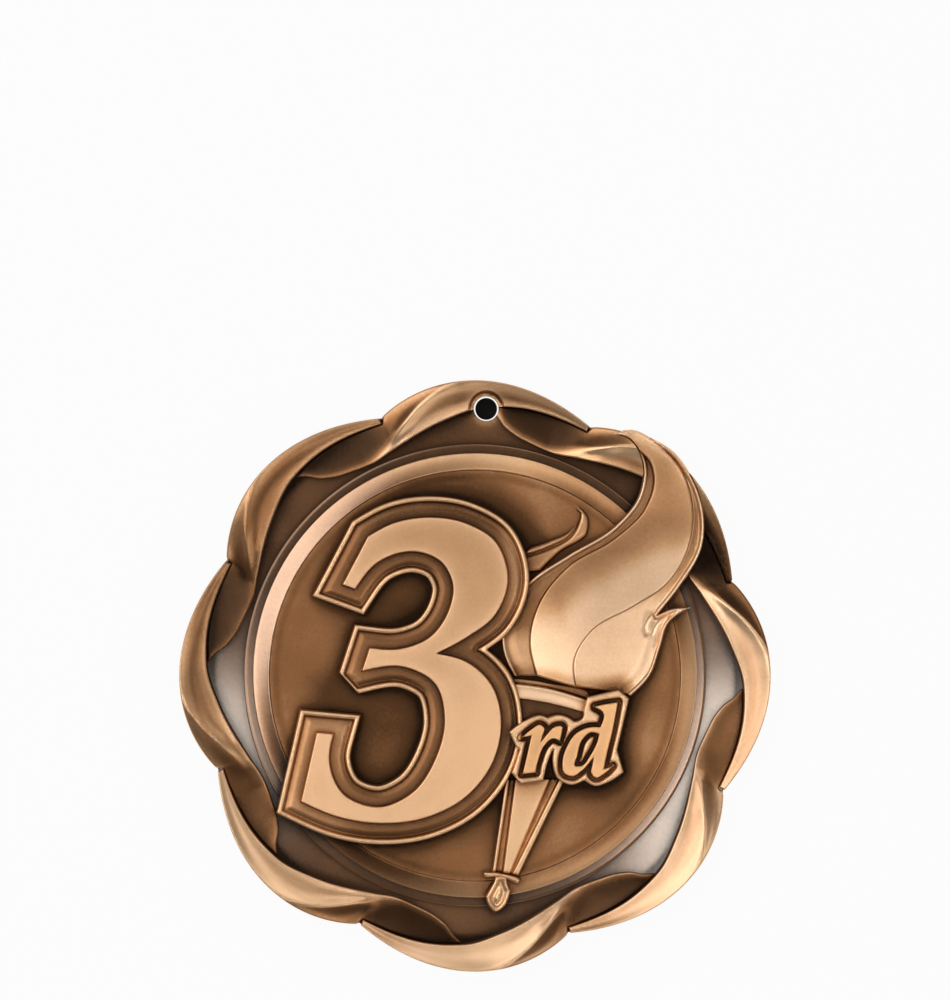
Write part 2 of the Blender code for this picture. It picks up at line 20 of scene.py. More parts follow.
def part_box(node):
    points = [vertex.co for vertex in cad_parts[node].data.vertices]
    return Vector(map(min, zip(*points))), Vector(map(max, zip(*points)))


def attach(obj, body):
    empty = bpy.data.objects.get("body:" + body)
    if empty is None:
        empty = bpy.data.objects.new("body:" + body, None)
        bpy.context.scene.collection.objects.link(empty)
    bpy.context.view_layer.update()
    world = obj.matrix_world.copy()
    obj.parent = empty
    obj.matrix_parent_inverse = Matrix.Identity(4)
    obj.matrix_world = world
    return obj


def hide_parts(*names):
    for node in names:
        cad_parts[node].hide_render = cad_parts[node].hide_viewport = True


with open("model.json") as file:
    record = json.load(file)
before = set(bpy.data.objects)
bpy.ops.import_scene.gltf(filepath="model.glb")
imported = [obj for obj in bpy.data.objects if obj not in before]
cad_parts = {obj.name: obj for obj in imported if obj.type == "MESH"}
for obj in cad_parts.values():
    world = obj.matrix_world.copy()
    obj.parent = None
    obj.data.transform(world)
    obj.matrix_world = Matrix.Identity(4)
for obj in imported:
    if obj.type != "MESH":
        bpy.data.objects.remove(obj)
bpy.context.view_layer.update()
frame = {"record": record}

MM = 0.001

# How finely outlines and faces are followed
OUTLINE_STEP = 0.12
FACE_STEP = 0.3
BROAD_STEP = 0.42
TURN_STEPS = 540
RELIEF_STEP = 0.15

# What the camera sees: the photograph's frame, measured on the medal
PICTURE_WIDTH = 122.74
PICTURE_RISE = 22.67
CAMERA_HEIGHT = 600.0
SENSOR_WIDTH = 36.0
MEASURED_AT = 3.0


def top_of(node):
    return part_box(node)[1][2] / MM


# Heights and radii, from the CAD frame
FLOOR = top_of("back_plate")
FIELD_RIM = top_of("field_disc")
BEAD_TOP = top_of("bead_ring")
LEAF_TOP = max(top_of(f"border_leaf_{i}") for i in range(1, 9))
NUMERAL_TOP = top_of("numeral_face")
SUFFIX_TOP = top_of("suffix_plate")
CUP_TOP = top_of("torch_cup")
BOWL_TOP = top_of("torch_bowl")
HANDLE_TOP = top_of("torch_handle")
GUARD_TOP = top_of("torch_guard")
POMMEL_TOP = top_of("torch_pommel")
BACK_TOP = top_of("flame_back")
MIDDLE_TOP = top_of("flame_middle")
FRONT_TOP = top_of("flame_front")
WISP_TOP = top_of("flame_wisp")
CREST_RADIUS = (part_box("back_plate")[1][0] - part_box("back_plate")[0][0]) / MM / 2
BEAD_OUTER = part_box("bead_ring")[1][0] / MM
FIELD_RADIUS = 26.5
FIELD_DISH = 0.35
DISH_WIDTH = 9.0
FIELD = FIELD_RIM - FIELD_DISH
LEDGE = FLOOR + 0.4
LEDGE_WIDTH = 1.2
BEAD_LIP = 0.12
BEAD_HOLLOW = 1.3

# Widths
NUMERAL_CHANNEL = 2.1
NUMERAL_RIM = 0.65
TRAY_DEPTH = 0.9
LETTER_CHANNEL = 0.45
LETTER_DEPTH = 0.6
HOLE_CENTRE = (1.45, CREST_RADIUS - 3.6)
HOLE_RADIUS = 1.6
HOLE_SHADE_RADIUS = 1.42
SPOT_FACE_RADIUS = 2.1
SPOT_FACE_TOP = FLOOR + 0.6

# Outlines: every inner list is a smooth curve, and a new list starts at each corner
NUMERAL = [
    [(-13.8, 18.0), (-10.4, 19.75), (-6.0, 20.45), (-1.2, 19.7), (2.6, 17.4), (4.25, 12.3), (2.4, 7.6),
     (-0.9, 5.05)],
    [(-4.9, 2.9), (-0.7, 1.65), (2.2, -1.2), (3.4, -6.0), (2.4, -10.9), (-1.0, -15.45), (-6.3, -18.25),
     (-12.0, -19.0), (-17.6, -18.2)],
    [(-22.45, -16.2)],
    [(-20.4, -7.25)],
    [(-18.2, -7.45), (-18.75, -10.8), (-16.9, -15.2), (-12.5, -16.85), (-8.2, -15.1), (-5.0, -10.4),
     (-3.95, -5.8), (-5.2, -1.0), (-9.0, 1.1)],
    [(-14.6, 0.6)],
    [(-13.6, 3.65), (-9.9, 3.5), (-5.75, 5.1), (-3.35, 8.6), (-2.85, 11.6), (-4.3, 14.6), (-7.6, 16.0),
     (-12.4, 14.7)],
    [(-15.45, 11.15)],
    [(-17.1, 11.75)],
]
SUFFIX = [
    [(4.3, -7.15), (6.4, -5.65), (8.5, -5.0)],
    [(9.35, -5.3), (10.6, -4.95), (12.0, -5.25)],
    [(12.85, -5.8), (13.8, -5.3)],
    [(13.85, -4.6)],
    [(14.4, -2.65)],
    [(18.5, -1.7)],
    [(19.9, -2.9)],
    [(18.35, -9.5)],
    [(19.2, -12.4), (17.2, -13.7), (15.4, -14.2)],
    [(14.05, -13.5), (12.3, -14.05), (10.6, -13.2), (9.9, -11.0)],
    [(10.05, -9.5), (9.4, -11.2)],
    [(8.85, -13.45)],
    [(5.8, -13.9)],
    [(4.65, -12.5)],
    [(5.6, -9.6)],
    [(5.15, -9.0)],
]
LETTER_R = [
    [(6.0, -7.9), (7.3, -6.75), (8.4, -6.2), (8.95, -6.6), (8.7, -7.8)],
    [(8.55, -8.35), (9.2, -7.5), (10.3, -6.45), (11.2, -6.4)],
    [(11.35, -6.6), (11.2, -7.4)],
    [(10.95, -8.45), (10.0, -8.1), (9.1, -8.8), (8.2, -10.8), (7.9, -12.0)],
    [(7.85, -12.45)],
    [(6.05, -12.65), (6.6, -10.3), (6.9, -9.0)],
    [(7.2, -7.7), (6.6, -7.85)],
]
LETTER_D = [
    [(15.4, -3.85), (17.0, -3.5)],
    [(18.45, -3.3), (17.8, -6.8), (16.9, -10.6)],
    [(16.65, -11.85)],
    [(17.75, -11.55), (16.8, -12.5), (15.4, -13.1), (14.9, -12.5), (15.05, -11.4)],
    [(15.2, -10.6), (13.9, -12.1), (12.5, -12.95), (11.4, -12.5), (11.2, -11.0), (11.8, -9.0), (13.0, -7.3),
     (14.6, -6.55)],
    [(16.1, -6.5), (16.45, -4.8)],
    [(15.4, -4.05)],
]
COUNTER_D = [
    [(15.9, -7.5), (14.9, -7.3), (14.0, -8.0), (13.2, -10.3), (12.95, -11.5), (13.6, -11.5), (14.9, -10.0),
     (15.8, -8.0)],
]
CUP_RISE = [(4.9, -0.35), (9.4, -0.95), (14.8, -2.55)]
CUP_LIP = [(14.2, -4.9), (9.6, -3.65), (5.2, -2.95)]
CUP = [CUP_RISE, CUP_LIP[:2], CUP_LIP[2:]]
BOWL = [
    [(5.2, -2.75), (9.6, -3.45)],
    [(14.4, -4.7)],
    [(14.0, -6.4)],
    [(5.2, -6.4)],
]
HANDLE = [[(3.95, -13.3)], [(11.65, -13.3)], [(5.65, -25.7)], [(2.2, -25.2)]]
GUARD = [[(0.95, -25.2), (3.2, -25.35), (5.9, -26.5)], [(5.5, -27.05), (3.2, -26.0), (1.1, -25.9)]]
POMMEL = [
    [(2.6, -25.8)],
    [(2.4, -26.6), (2.0, -27.3)],
    [(1.35, -28.5), (1.65, -29.5), (2.6, -30.5), (3.9, -29.7), (4.4, -28.6)],
    [(4.65, -27.7), (4.3, -27.0)],
    [(4.1, -25.8)],
]
FLAME_LEFT_SIDE = [(5.0, -0.1), (3.5, 3.6), (4.2, 8.8), (7.0, 12.2), (12.0, 15.6), (18.1, 19.4), (21.1, 23.2),
                   (21.65, 27.0)]
FLAME_BACK_TIP = (21.0, 29.1)
FLAME_BACK_LINE = [(8.0, 0.0), (7.1, 4.6), (8.5, 9.7), (12.0, 14.0), (18.2, 17.8), (22.0, 21.6), (23.1, 25.5),
                   (22.5, 27.7)]
FLAME_TIP = (17.9, 31.15)
FLAME_SHOULDER = (22.6, 30.75)
FLAME_FRONT_LINE = [(13.0, -1.5), (12.8, 2.1), (15.0, 5.8), (20.4, 9.0), (24.8, 12.0), (27.4, 16.4), (28.1, 21.0),
                    (26.9, 25.9)]
FLAME_RIGHT_SIDE = [(25.4, 29.1), (28.0, 25.6), (29.5, 21.0), (29.35, 16.8), (26.5, 11.6)]
FLAME_NOTCH = (23.5, 7.85)
SPUR_TIP = (27.8, 8.8)
SPUR_SIDE = [(25.0, 6.8), (23.9, 3.6), (22.5, -0.1)]
FLAME_FOOT = (20.1, -2.6)
FLAME_TOP_EDGE = [FLAME_BACK_TIP, (19.9, 30.45)]
FLAME_CROWN_EDGE = [FLAME_TIP, (20.2, 31.75)]
FLAME_NOTCH_EDGE = [FLAME_NOTCH, (25.3, 8.65)]
FLAME_BACK = [FLAME_LEFT_SIDE, [FLAME_BACK_TIP] + FLAME_BACK_LINE[:0:-1], [FLAME_BACK_LINE[0]]]
FLAME_MIDDLE = [
    FLAME_BACK_LINE,
    FLAME_TOP_EDGE,
    FLAME_CROWN_EDGE,
    [FLAME_SHOULDER] + FLAME_FRONT_LINE[:0:-1],
    [FLAME_FRONT_LINE[0]],
]
FLAME_FRONT = [
    FLAME_FRONT_LINE,
    [FLAME_SHOULDER] + FLAME_RIGHT_SIDE,
    FLAME_NOTCH_EDGE,
    [SPUR_TIP] + SPUR_SIDE,
    [FLAME_FOOT],
]
FLAME_WHOLE = [
    FLAME_LEFT_SIDE,
    FLAME_TOP_EDGE,
    FLAME_CROWN_EDGE,
    [FLAME_SHOULDER] + FLAME_RIGHT_SIDE,
    FLAME_NOTCH_EDGE,
    [SPUR_TIP] + SPUR_SIDE,
    [FLAME_FOOT],
]
FLAME_WISP = [
    [(6.0, 13.0), (6.4, 16.0), (9.4, 17.4), (12.4, 18.9), (13.3, 20.4)],
    [(12.9, 22.1), (14.6, 20.6), (14.6, 18.5), (11.0, 15.9)],
    [(8.5, 13.5)],
]

# Lines cut into the flame
FRONT_HOOK = [(23.4, 8.4), (22.3, 7.2), (21.9, 6.0), (22.2, 5.1), (22.7, 5.2), (23.2, 6.25), (24.0, 7.2), (25.0, 7.9)]
FRONT_INNER_LINE = [(25.6, 7.95), (24.5, 6.9), (23.9, 5.8), (23.45, 4.0), (22.9, 1.95), (22.1, 0.1)]
WISP_LINE = [(13.5, 21.0), (13.3, 19.9), (12.5, 18.3), (9.4, 16.4), (6.4, 15.4)]

# Handle: a line down each edge of its lips, grooves and face
HANDLE_LINES = {
    "left_lip": [(4.15, -15.0), (2.75, -24.5)],
    "face_left": [(5.0, -15.0), (3.75, -24.5)],
    "face_right": [(8.9, -15.0), (4.85, -24.5)],
    "right_lip": [(10.1, -15.0), (5.4, -24.5)],
}

# Leaf border: a share of the lobe's turn, then a share of the border's width or of the leaf's height
LOBES = 8
LOBE_DEPTH = 2.75
LOBE_TURN = 110.0
BORDER_WIDTH = 7.7
LEAF_START = -0.49
LEAF_END = 0.991
LEAF_GAP = 0.06
LEAF_STEP_OUT = (-0.007, 0.01)
LOBE_SKEW = 0.85
LEAF_INNER = [(-0.5, 0.448), (-0.45, 0.578), (-0.4, 0.76), (-0.3, 0.916), (-0.13, 1.0), (0.0, 0.922), (0.3, 0.63),
              (0.5, 0.442), (0.7, 0.396), (1.0, 0.448)]
LEAF_RIDGE = [(-0.16, 1.0), (-0.1, 0.945), (0.0, 0.786), (0.1, 0.552), (0.2, 0.305), (0.3, 0.11), (0.38, 0.02), (0.46, 0.0)]
EDGE_SHARE = [(-0.5, 0.2), (-0.13, 0.3), (0.0, 0.44), (0.12, 0.6), (0.3, 0.67), (0.6, 0.65), (1.0, 0.5)]
CREST_SHARE = [(-0.16, 0.29), (-0.06, 0.38), (0.0, 0.53), (0.15, 0.88), (0.4, 1.0), (0.6, 0.96), (1.0, 0.62)]
FOOT_SHARE = [(-0.5, 0.12), (-0.28, 0.14), (-0.1, 0.23), (0.05, 0.42), (0.2, 0.75), (0.36, 0.97), (0.46, 1.0), (1.0, 1.0)]
FACE_SAG = 0.06
# Tone of each leaf's face at three turns, set leaf by leaf: wear together with painted light and shade.
LEAF_WEAR_AND_LIGHT_AT = (0.15, 0.5, 0.85)
LEAF_WEAR_AND_LIGHT = [(0.72, 0.41, 0.48), (1.0, 0.6, 0.12), (0.82, 0.57, 0.44), (0.66, 0.7, 0.36), (0.77, 0.92, 0.4),
             (0.72, 0.7, 0.86), (0.55, 0.4, 0.24), (0.38, 0.32, 0.31)]
# Coat on each leaf's brightest parts, set leaf by leaf: wax, and a painted sheen that whitens its highlights.
LEAF_WAX_AND_SHEEN = [0.15, 0.0, 0.3, 0.35, 0.35, 0.2, 0.15, 0.1]
# Tone of each leaf's back, where it folds and where it lies open, set leaf by leaf: wear and painted shade.
LEAF_BACK_WEAR_AND_SHADE = [(0.12, 0.32), (0.2, 0.37), (0.06, 0.1), (0.52, 0.52), (0.3, 0.3), (0.24, 0.22), (0.44, 0.4), (0.12, 0.4)]


# Outlines
def smooth_curve(knots, step=OUTLINE_STEP):
    """Points on the cubic through these knots, without the last one."""
    knots = np.array(knots, float)
    spans = np.linalg.norm(np.diff(knots, axis=0), axis=1)
    slopes = np.diff(knots, axis=0) / spans[:, None]
    if len(knots) == 2:
        tangents = np.vstack([slopes, slopes])
    else:
        before, after = spans[:-1, None], spans[1:, None]
        middle = (slopes[:-1] * after + slopes[1:] * before) / (before + after)
        tangents = np.vstack([1.5 * slopes[0] - 0.5 * middle[0], middle, 1.5 * slopes[-1] - 0.5 * middle[-1]])
    points = []
    for i, span in enumerate(spans):
        count = max(2, round(span / step))
        s = (np.arange(count) / count)[:, None]
        points.append(
            (2 * s**3 - 3 * s**2 + 1) * knots[i]
            + (s**3 - 2 * s**2 + s) * span * tangents[i]
            + (3 * s**2 - 2 * s**3) * knots[i + 1]
            + (s**3 - s**2) * span * tangents[i + 1]
        )
    return np.vstack(points)


def drawn(strokes):
    """A closed outline, in order against the clock, from its smooth curves."""
    parts = []
    for i, stroke in enumerate(strokes):
        parts.append(smooth_curve(stroke + [strokes[(i + 1) % len(strokes)][0]]))
    points = np.vstack(parts)
    after = np.roll(points, -1, axis=0)
    turn = np.sum(points[:, 0] * after[:, 1] - after[:, 0] * points[:, 1])
    return points if turn > 0 else points[::-1]


def circle(centre, radius):
    count = max(24, round(math.tau * radius / OUTLINE_STEP))
    angles = np.arange(count) * math.tau / count
    return np.stack([centre[0] + radius * np.cos(angles), centre[1] + radius * np.sin(angles)], axis=1)


def tree_of(points):
    tree = KDTree(len(points))
    for i, (x, y) in enumerate(points):
        tree.insert((x, y, 0.0), i)
    tree.balance()
    return tree


def depth_in(points, outline):
    """How far inside a closed outline each point lies. It is negative outside."""
    tree = tree_of(outline)
    near = np.array([tree.find((x, y, 0.0))[1] for x, y in points])
    gaps, sides = [], []
    for first in (near - 1, near):
        start = outline[first % len(outline)]
        along = outline[(first + 1) % len(outline)] - start
        offset = points - start
        share = np.clip((offset * along).sum(1) / (along * along).sum(1), 0, 1)
        gaps.append(np.linalg.norm(offset - share[:, None] * along, axis=1))
        sides.append((along[:, 0] * offset[:, 1] - along[:, 1] * offset[:, 0]) / np.linalg.norm(along, axis=1))
    nearer = np.where(gaps[0] < gaps[1], sides[0], sides[1])
    side = np.where(np.abs(gaps[0] - gaps[1]) < 1e-9, sides[0] + sides[1], nearer)
    return np.where(side >= 0, 1, -1) * np.minimum(gaps[0], gaps[1])


def gap_to(points, curve):
    """How far each point lies from an open curve."""
    tree = tree_of(curve)
    return np.array([tree.find((x, y, 0.0))[2] for x, y in points])


def grown(outline, distance):
    """The outline moved out by a distance, or in by a negative one, with pointed corners cut square."""
    ahead = np.roll(outline, -1, axis=0) - outline
    ahead /= np.linalg.norm(ahead, axis=1)[:, None]
    behind = np.roll(ahead, 1, axis=0)
    out_ahead = np.stack([ahead[:, 1], -ahead[:, 0]], axis=1)
    out_behind = np.roll(out_ahead, 1, axis=0)
    moved, heading = [], []
    for i, corner in enumerate(outline):
        both = out_ahead[i] + out_behind[i]
        stretch = 1 + float(out_ahead[i] @ out_behind[i])
        opens = distance * float(out_behind[i] @ ahead[i]) < 0
        if opens and stretch < 0.69:
            square = 1.1 * min(1.0, abs(distance))
            moved.append(corner + out_behind[i] * distance + behind[i] * square)
            moved.append(corner + out_ahead[i] * distance - ahead[i] * square)
            heading += [ahead[i] + behind[i], ahead[i]]
        else:
            moved.append(corner + both * distance / stretch)
            heading.append(ahead[i])
    moved = np.array(moved)
    onward = ((np.roll(moved, -1, axis=0) - moved) * np.array(heading)).sum(axis=1) > 0
    clear = np.abs(depth_in(moved, outline)) > abs(distance) - 0.003
    return filled_in(moved[onward & np.roll(onward, 1) & clear])


def filled_in(outline):
    """The closed outline with points added where they lie far apart."""
    points = []
    for start, end in zip(outline, np.roll(outline, -1, axis=0)):
        count = max(1, round(float(np.linalg.norm(end - start)) / OUTLINE_STEP))
        points += [start + (end - start) * i / count for i in range(count)]
    return np.array(points)


def ramp(value, low, high):
    """0 below one value and 1 above the other, with a smooth rise between."""
    s = np.clip((value - low) / (high - low), 0, 1)
    return s * s * (3 - 2 * s)


# Meshes
def face_over(edge, height, foot, lines=(), step=FACE_STEP, holes=()):
    """Points and faces of a relief: heights over an outline, and a skirt from its edge down to a foot.

    Its points also follow these lines, and it leaves out what lies inside the holes.
    """
    places, ends = [], []
    for loop in (edge, *holes):
        first = len(places)
        places += [tuple(point) for point in loop]
        ends += [(first + i, first + (i + 1) % len(loop)) for i in range(len(loop))]
    if lines:
        followed = np.vstack(list(lines))
        followed = followed[depth_in(followed, edge) > 0.04]
    else:
        followed = np.empty((0, 2))
    low, high = edge.min(axis=0), edge.max(axis=0)
    rows = np.arange(low[1], high[1], step * math.sqrt(3) / 2)
    lattice = []
    for i, y in enumerate(rows):
        xs = np.arange(low[0] + (i % 2) * step / 2, high[0], step)
        lattice.append(np.stack([xs, np.full(len(xs), y)], axis=1))
    lattice = np.vstack(lattice)
    lattice = lattice[depth_in(lattice, edge) > 0.5 * step]
    taken = np.vstack([np.array(places), followed])
    lattice = lattice[gap_to(lattice, taken) > 0.5 * step]
    flat = [Vector(point) for point in np.vstack([taken, lattice])]
    found, _, faces, *_ = delaunay_2d_cdt(flat, ends, [], 1, 1e-6)
    points = np.array([(p.x, p.y) for p in found])
    faces = np.array([face for face in faces if len(face) == 3])
    middles = points[faces].mean(axis=1)
    kept = depth_in(middles, edge) > 0
    for hole in holes:
        kept &= depth_in(middles, hole) < 0
    faces = faces[kept]
    used, faces = np.unique(faces, return_inverse=True)
    points, faces = points[used], faces.reshape(-1, 3)
    tops = np.column_stack([points, height(points)])
    sides = np.concatenate([faces[:, [0, 1]], faces[:, [1, 2]], faces[:, [2, 0]]])
    _, first, counts = np.unique(np.sort(sides, axis=1), axis=0, return_index=True, return_counts=True)
    rim = sides[first[counts == 1]]
    upper = tops[rim].reshape(-1, 3)
    lower = upper.copy()
    lower[:, 2] = np.minimum(lower[:, 2], foot)
    start = len(tops)
    skirt = []
    for i in range(len(rim)):
        a, b = start + 2 * i, start + 2 * i + 1
        skirt.append((a, a + 2 * len(rim), b + 2 * len(rim), b))
    return np.vstack([tops, upper, lower]), [tuple(map(int, face)) for face in faces] + skirt


def turned(profile, steps=TURN_STEPS):
    """Points and faces of a profile of (radius, height), from the inside out, turned about Z."""
    angles = np.arange(steps) * math.tau / steps
    points = [(r * math.cos(a), r * math.sin(a), z) for a in angles for r, z in profile]
    count = len(profile)
    faces = []
    for i in range(steps):
        here, there = i * count, (i + 1) % steps * count
        for j in range(count - 1):
            faces.append((here + j, here + j + 1, there + j + 1, there + j))
    return np.array(points), faces


shapes = {}


def shape(name, points_and_faces, tone, node=None):
    """Keeps a piece until the whole relief is known. Tone is a number, or a function of its points."""
    points, faces = points_and_faces
    shapes[name] = (np.asarray(points, float), faces, tone, node)


# Numeral in its tray
numeral = drawn(NUMERAL)
numeral_tray = grown(numeral, NUMERAL_CHANNEL)
RIM_REACH = NUMERAL_CHANNEL + NUMERAL_RIM
numeral_edge = grown(numeral, RIM_REACH)


def numeral_plate_height(points):
    inside = depth_in(points, numeral_edge)
    in_tray = depth_in(points, numeral_tray)
    rim = NUMERAL_TOP - 0.07 * ((np.clip(inside, 0, NUMERAL_RIM) - NUMERAL_RIM / 2) / NUMERAL_RIM * 2) ** 2
    floor = NUMERAL_TOP - TRAY_DEPTH + 0.12 * ramp(in_tray, 0.2, 1.0)
    height = rim + (floor - rim) * ramp(in_tray, -0.05, 0.24)
    return height + (FIELD - 0.1 - height) * ramp(-inside, -0.1, 0.2)


def numeral_plate_tone(points):
    in_tray = depth_in(points[:, :2], numeral_tray)
    x, y = points[:, 0], points[:, 1]
    # The tray floor lighter at the lower left and upper right, and darker at the top.
    lightness = 0.15 * ramp(-x, 13, 19) * ramp(-y, 3, 7) + 0.2 * ramp(x, 2, 5) * ramp(y, 6, 10) - 0.08 * ramp(y, 18, 20)
    return 0.84 - (0.3 - lightness) * ramp(in_tray, -0.02, 0.12)


shape(
    "numeral_plate",
    face_over(
        grown(numeral, RIM_REACH + 0.2),
        numeral_plate_height,
        FIELD - 0.3,
        [grown(numeral, RIM_REACH + d) for d in (0.1, 0.03, -0.05, -0.15, -0.32, -0.5)]
        + [grown(numeral, NUMERAL_CHANNEL + d) for d in (0.05, -0.05, -0.14, -0.24, -0.4)],
    ),
    numeral_plate_tone,
    "numeral_plate",
)


def numeral_face_height(points):
    inside = depth_in(points, numeral)
    return NUMERAL_TOP - TRAY_DEPTH * (1 - ramp(inside, -0.22, 0.1))


# Numeral face darker towards the top and lighter at the lower right: painted light and shade.
def numeral_tone(points):
    x, y = points[:, 0], points[:, 1]
    return 0.85 - 0.07 * y / 18 + 0.1 * ramp(x, -8, 0) * ramp(-y, -6, 4)


shape(
    "numeral_face",
    face_over(
        grown(numeral, 0.2),
        numeral_face_height,
        NUMERAL_TOP - 1.2,
        [grown(numeral, d) for d in (0.12, 0.04, -0.03, -0.1, -0.2)],
    ),
    numeral_tone,
    "numeral_face",
)

# Ordinal ending in its tray
suffix = drawn(SUFFIX)
letter_r, letter_d, counter_d = drawn(LETTER_R), drawn(LETTER_D), drawn(COUNTER_D)


def depth_in_letters(points):
    in_d = np.minimum(depth_in(points, letter_d), -depth_in(points, counter_d))
    return np.maximum(depth_in(points, letter_r), in_d)


def suffix_height(points):
    inside = depth_in(points, suffix)
    beside = -depth_in_letters(points)
    height = SUFFIX_TOP - LETTER_DEPTH * (1 - ramp(beside, LETTER_CHANNEL - 0.04, LETTER_CHANNEL + 0.14))
    return height + (FIELD - 0.1 - height) * ramp(-inside, -0.12, 0.2)


def suffix_tone(points):
    beside = -depth_in_letters(points[:, :2])
    return 0.82 - 0.6 * (1 - ramp(beside, LETTER_CHANNEL - 0.02, LETTER_CHANNEL + 0.12))


letter_lines = [grown(letter_r, d) for d in (0.1, 0.3, 0.42, 0.52, 0.65)]
letter_lines += [grown(letter_d, d) for d in (0.1, 0.3, 0.42, 0.52, 0.65)]
letter_lines += [grown(counter_d, d) for d in (-0.1, -0.3, -0.42, -0.52, -0.65)]
shape(
    "suffix_plate",
    face_over(
        grown(suffix, 0.2),
        suffix_height,
        FIELD - 0.3,
        [grown(suffix, d) for d in (0.1, 0.02, -0.06, -0.15)] + letter_lines,
        step=0.24,
    ),
    suffix_tone,
    "suffix_plate",
)


def letter_height(points):
    return SUFFIX_TOP - LETTER_DEPTH * (1 - ramp(depth_in_letters(points), -0.08, 0.1))


letter_insets = (0.05, -0.03, -0.1, -0.2)
LETTER_TONE = 0.8
shape(
    "letter_r",
    face_over(grown(letter_r, 0.12), letter_height, SUFFIX_TOP - 1, [grown(letter_r, d) for d in letter_insets], 0.24),
    LETTER_TONE,
)
shape(
    "letter_d",
    face_over(
        grown(letter_d, 0.12),
        letter_height,
        SUFFIX_TOP - 1,
        [grown(letter_d, d) for d in letter_insets] + [grown(counter_d, -d) for d in letter_insets],
        0.24,
        [grown(counter_d, -0.12)],
    ),
    LETTER_TONE,
)

# Torch
cup = drawn(CUP)
cup_rise, cup_lip = smooth_curve(CUP_RISE), smooth_curve(CUP_LIP)


def cup_height(points):
    inside = depth_in(points, cup)
    upper, lower = gap_to(points, cup_rise), gap_to(points, cup_lip)
    down = upper / (upper + lower)
    height = FIELD + 0.5 + (CUP_TOP - FIELD - 0.75) * ramp(down, 0.14, 0.32) + 0.25 * ramp(down, 0.32, 1.0)
    return height - 0.5 * (1 - ramp(lower, -0.1, 0.2)) - 0.2 * (1 - ramp(inside, -0.1, 0.15))


# Darker in the cup's hollow top with patina, lighter on its rising lower band: a painted highlight.
def cup_tone(points):
    upper, lower = gap_to(points[:, :2], cup_rise), gap_to(points[:, :2], cup_lip)
    return 0.78 + 0.18 * ramp(upper / (upper + lower), 0.16, 0.34)


shape(
    "torch_cup",
    face_over(cup, cup_height, FIELD - 0.3, [grown(cup, d) for d in (-0.08, -0.18, -0.3, -0.45)], 0.2),
    cup_tone,
    "torch_cup",
)
bowl = drawn(BOWL)
shape("torch_bowl", face_over(bowl, lambda p: np.full(len(p), BOWL_TOP - 0.1), FIELD - 0.3), 0.62, "torch_bowl")
handle = drawn(HANDLE)


def across(name, y):
    (x0, y0), (x1, y1) = HANDLE_LINES[name]
    return x0 + (x1 - x0) * (y - y0) / (y1 - y0)


def handle_height(points):
    x, y = points.T
    inside = depth_in(points, handle)
    left_groove = ramp(x - across("left_lip", y), -0.05, 0.2) * ramp(across("face_left", y) - x, -0.1, 0.25)
    right_groove = ramp(x - across("face_right", y), -0.1, 0.3) * ramp(across("right_lip", y) - x, -0.05, 0.2)
    height = HANDLE_TOP - 0.5 * left_groove - 0.5 * right_groove
    return height - 0.5 * (1 - ramp(inside, -0.15, 0.15))


# Handle tone: deeper parts darker with patina; darker at the top, under the ordinal's tray: painted shadow; lighter in
# the right groove: painted reflection.
def handle_tone(points):
    x, y = points[:, 0], points[:, 1]
    right_groove = ramp(x - across("face_right", y), 0.0, 0.2) * ramp(across("right_lip", y) - x, 0.0, 0.2)
    return 0.9 - 0.5 * (HANDLE_TOP - points[:, 2]) - 0.15 * ramp(y, -17, -14) + 0.12 * right_groove


def handle_line(name, shift):
    y = np.arange(-25.6, -13.3, OUTLINE_STEP)
    return np.stack([across(name, y) + shift, y], axis=1)


shape(
    "torch_handle",
    face_over(
        handle,
        handle_height,
        FIELD - 0.3,
        [handle_line(name, d) for name in HANDLE_LINES for d in (-0.2, -0.1, 0.0, 0.1, 0.2)]
        + [grown(handle, d) for d in (-0.08, -0.16)],
        0.24,
    ),
    handle_tone,
    "torch_handle",
)
guard = drawn(GUARD)
shape(
    "torch_guard",
    face_over(
        guard,
        lambda p: GUARD_TOP - 0.6 * (1 - np.clip(depth_in(p, guard) / 0.3, 0, 1)) ** 2,
        FIELD - 0.3,
        [grown(guard, d) for d in (-0.08, -0.16)],
        0.18,
    ),
    0.8,
    "torch_guard",
)
pommel = drawn(POMMEL)


def pommel_height(points):
    inside = depth_in(points, pommel)
    rim = POMMEL_TOP - 0.5 * (1 - ramp(inside, -0.15, 0.2))
    return rim - 0.4 * ramp(inside, 0.45, 0.75) + 0.25 * ramp(inside, 0.9, 1.3)


shape(
    "torch_pommel",
    face_over(pommel, pommel_height, FIELD - 0.3, [grown(pommel, d) for d in (-0.1, -0.2, -0.45, -0.6, -0.75)], 0.2),
    0.97,
    "torch_pommel",
)

# Flame
back_tongue, middle_tongue, front_tongue = drawn(FLAME_BACK), drawn(FLAME_MIDDLE), drawn(FLAME_FRONT)
flame_outline, wisp = drawn(FLAME_WHOLE), drawn(FLAME_WISP)
left_side = smooth_curve(FLAME_LEFT_SIDE + [FLAME_BACK_TIP])
back_line = smooth_curve(FLAME_BACK_LINE)
front_line = smooth_curve(FLAME_FRONT_LINE + [FLAME_SHOULDER])
right_side = np.vstack(
    [smooth_curve([FLAME_SHOULDER] + FLAME_RIGHT_SIDE + [FLAME_NOTCH]), smooth_curve(FLAME_NOTCH_EDGE + [SPUR_TIP]),
     smooth_curve([SPUR_TIP] + SPUR_SIDE + [FLAME_FOOT])]
)
flame_foot = smooth_curve(CUP_RISE[:2] + [(14.4, -2.2), (18.8, -1.6)])
tongue_insets = (-0.08, -0.16, -0.25, -0.36, -0.5, -0.65)


